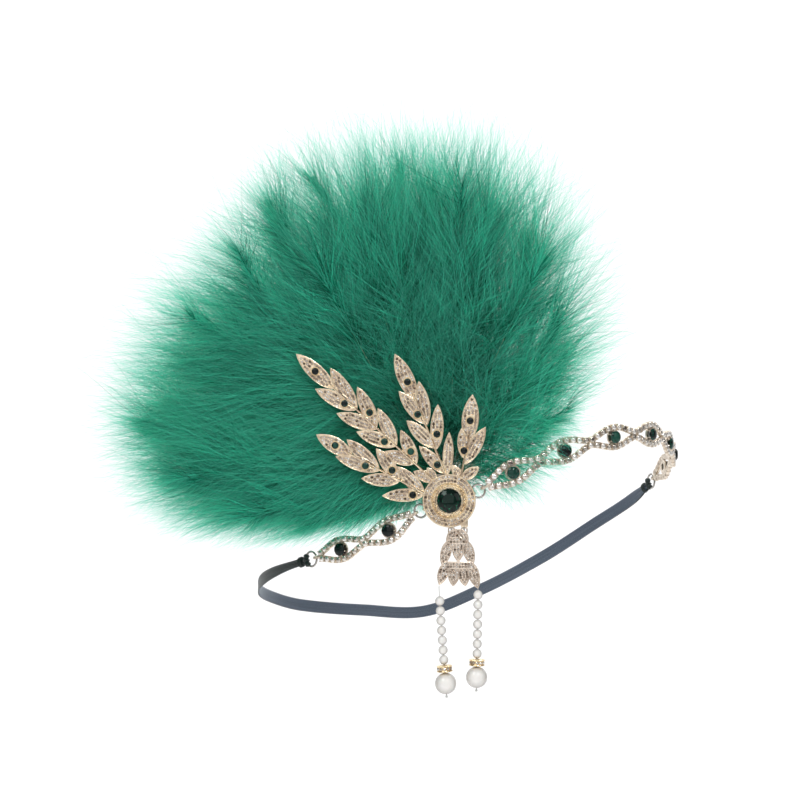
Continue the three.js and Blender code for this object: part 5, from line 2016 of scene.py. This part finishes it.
    def barb_piece(self, index: int, rows: list[dict[str, float]]) -> Object:
        """Makes one piece of the down: tapering strips, copied from one and bent along the barbs."""
        rng = np.random.default_rng(81 + index)
        points, shade, girth = self.barb_lines(rng, rows, self.barbs)
        count, stops = points.shape[0], self.segments + 1
        along = np.gradient(points, axis=1)
        along /= np.linalg.norm(along, axis=2, keepdims=True) + 1e-9
        facing = np.array([0.0, 0.0, 1.0]) + rng.normal(0.0, 0.55, (count, 1, 3))
        across = np.cross(along, facing)
        across /= np.linalg.norm(across, axis=2, keepdims=True) + 1e-9
        taper = np.interp(np.linspace(0, 1, stops), [0.0, 0.25, 0.8, 1.0], [0.8, 1.0, 0.55, 0.12])
        half = self.barb_width / 2 * (girth * rng.uniform(0.6, 1.3, count))[:, None] * taper[None, :]
        sides = np.stack([points - across * half[..., None], points + across * half[..., None]], axis=2)
        verts = sides.reshape(-1, 3)
        world = np.array(self.brooch.frame, float)
        verts = verts @ world[:3, :3].T + world[:3, 3]
        base = (np.arange(count) * stops * 2)[:, None, None]
        step = (np.arange(self.segments) * 2)[None, :, None]
        corners = base + step + np.array([0, 1, 3, 2])[None, None, :]
        faces = count * self.segments
        mesh = woven(f"plume_down_{index + 1}", verts, corners.ravel(), np.full(faces, 4))
        mesh.polygons.foreach_set("use_smooth", np.ones(faces, bool))
        self.map_barbs(mesh, shade, count)
        mesh.materials.append(self.palette.down)
        return shown(mesh.name, mesh)

    def map_barbs(self, mesh: Mesh, shade: np.ndarray, count: int) -> None:
        """Writes the map: a barb's shade across, and its length up."""
        layer = mesh.uv_layers.new(name="OFBake")
        column = 0.006
        middle = 0.02 + 0.96 * shade
        uv = np.zeros((count, self.segments, 4, 2), np.float32)
        low = np.arange(self.segments) / self.segments
        high = low + 1 / self.segments
        for corner, (way, height) in enumerate(((-1, low), (1, low), (1, high), (-1, high))):
            uv[:, :, corner, 0] = (middle + way * column)[:, None]
            uv[:, :, corner, 1] = 0.01 + 0.98 * height[None, :]
        layer.data.foreach_set("uv", uv.ravel())

    def build_quills(self, rows: list[dict[str, float]]) -> None:
        """Makes the quills and the bound head that holds them."""
        pile = Pile("plume_quills", 90, self.brooch.frame)
        for row in rows:
            shares = np.linspace(0.015, 0.9, 12)
            line, _ = self.on_quill(row, shares)
            far = np.hypot(line[:, 0], line[:, 1] - self.rise)
            line[:, 2] = np.clip(line[:, 2], self.back_limit, self.front_at(far) - 0.6)
            radii = [0.42 * (1 - 0.85 * s) for s in shares]
            pile.add(swept([Vector(p) for p in line], radii, 6))
        half, out = self.head_height / 2, self.head
        turns = 9
        profile = [(0.0, -half), (out * 0.7, -half)]
        for i in range(turns):
            low = -half + self.head_height * i / turns
            profile += [(out * 0.86, low + 0.1), (out * 0.97, low + self.head_height / turns * 0.5)]
        profile += [(out * 0.86, half - 0.1), (out * 0.6, half), (0.0, half)]
        pile.add(lathed(profile, 28), [moved(0, self.rise, self.depth) @ turned(90, "X")])
        fitted(pile.piece([self.palette.quill]), Body.HEADBAND, Slot.FEATHER)

    def build(self) -> None:
        """Makes the plume."""
        rows = self.quill_rows()
        for index in range(self.pieces):
            nodes = ["plume"] if index == 0 else []
            fitted(self.barb_piece(index, rows), Body.HEADBAND, Slot.FEATHER, nodes)
        self.build_quills(rows)


# The studio


@dataclass
class Studio:
    """A pale sweep of paper, soft lamps and the camera."""

    palette: Palette
    eye: tuple[float, float, float] = (-29.72, -1184.0, 62.2)
    lens: float = 117.86
    floor: float = -420.0
    back: float = 900.0
    wide: float = 5000.0
    near: float = -2600.0
    bend: float = 600.0
    height: float = 4200.0
    middle: tuple[float, float, float] = (-0.03, -0.06, 0.06)

    def __post_init__(self) -> None:
        """Lists the lamps: name, place, aim and size in metres, and power in watts."""
        middle = self.middle
        self.lamps = (
            ("key_lamp", (-0.75, -1.0, 1.15), middle, (0.7, 0.7), 7.0),
            ("fill_lamp", (1.1, -0.9, 0.5), middle, (0.8, 1.0), 2.0),
            ("top_lamp", (0.1, 0.15, 1.4), middle, (1.0, 1.0), 4.5),
            ("front_lamp", (-0.35, -1.7, 0.45), middle, (1.8, 1.5), 5.5),
            ("spark_lamp", (0.35, -1.25, 0.9), middle, (0.18, 0.18), 5.0),
            ("back_lamp", (0.0, 0.5, 1.6), (0.0, 1.4, 0.4), (2.4, 1.0), 30.0),
        )

    def build_paper(self) -> None:
        """Makes the floor and backdrop as one sweep."""
        bm = bmesh.new()
        start = [bm.verts.new((side * self.wide, self.near, self.floor)) for side in (-1, 1)]
        edge = bm.edges.new(start)
        bend = self.bend
        stops = [(self.back, self.floor)]
        stops += [(self.back + bend * math.sin(a), self.floor + bend * (1 - math.cos(a)))
                  for a in (math.radians(7.5 * i) for i in range(1, 13))]
        stops += [(self.back + bend, self.height)]
        for y, z in stops:
            made = bmesh.ops.extrude_edge_only(bm, edges=[edge])["geom"]
            for vert in (v for v in made if isinstance(v, Vert)):
                vert.co.y, vert.co.z = y, z
            edge = next(e for e in made if isinstance(e, Edge))
        bmesh.ops.recalc_face_normals(bm, faces=bm.faces[:])
        draped(bm, "paper_sweep", self.palette.paper)

    def add_lamp(self, name: str, at: tuple, aim: tuple, size: tuple[float, float], power: float) -> None:
        """Adds a soft rectangular lamp, in metres and watts."""
        lamp = bpy.data.lights.new(name, "AREA")
        lamp.shape, lamp.size, lamp.size_y, lamp.energy = "RECTANGLE", size[0], size[1], power
        holder = bpy.data.objects.new(name, lamp)
        holder.location = at
        holder.rotation_euler = (Vector(aim) - Vector(at)).to_track_quat("-Z", "Y").to_euler()
        bpy.context.scene.collection.objects.link(holder)

    def build(self) -> None:
        """Makes the studio."""
        self.build_paper()
        for lamp in self.lamps:
            self.add_lamp(*lamp)
        world = bpy.data.worlds.new("studio_air")
        world.use_nodes = True
        w = Wiring(world.node_tree)
        sky = w.add("ShaderNodeBackground", {"Color": rgb(1.0, 1.0, 1.0), "Strength": 0.2})
        w.add("ShaderNodeOutputWorld", {"Surface": sky.outputs["Background"]})
        bpy.context.scene.world = world
        bpy.context.scene.view_settings.view_transform = "Standard"
        lens = bpy.data.cameras.new("photo_camera")
        lens.lens, lens.sensor_width = self.lens, 36.0
        lens.clip_start, lens.clip_end = 0.05, 30.0
        camera = bpy.data.objects.new("photo_camera", lens)
        camera.location = [value * MM for value in self.eye]
        camera.rotation_euler = (math.radians(90), 0.0, 0.0)
        bpy.context.scene.collection.objects.link(camera)
        bpy.context.scene.camera = camera


def dress_clip(frame: dict, palette: Palette) -> None:
    """Gives the plume's clip its brushed finish."""
    clip = frame["nodes"]["plume_clip"]
    for slot in clip.material_slots:
        slot.material = palette.clip
    LOG.info("plume_clip: CAD node kept, brushed")


def main() -> None:
    """Builds the headband over its frame."""
    logging.basicConfig(level=logging.INFO, format="%(message)s")
    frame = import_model()
    palette, stones, route = Palette(), Stones(), LoopRoute()
    studio = Studio(palette)
    studio.build()
    brooch = Brooch(palette, stones, route)
    brooch.build()
    chains = Chains(palette, stones, route, brooch)
    ends = chains.build()
    Drop(palette, stones, brooch, chains).build()
    Ribbon(palette, route, chains).build(ends)
    Plume(palette, brooch).build()
    dress_clip(frame, palette)


if __name__ == "__main__":
    main()
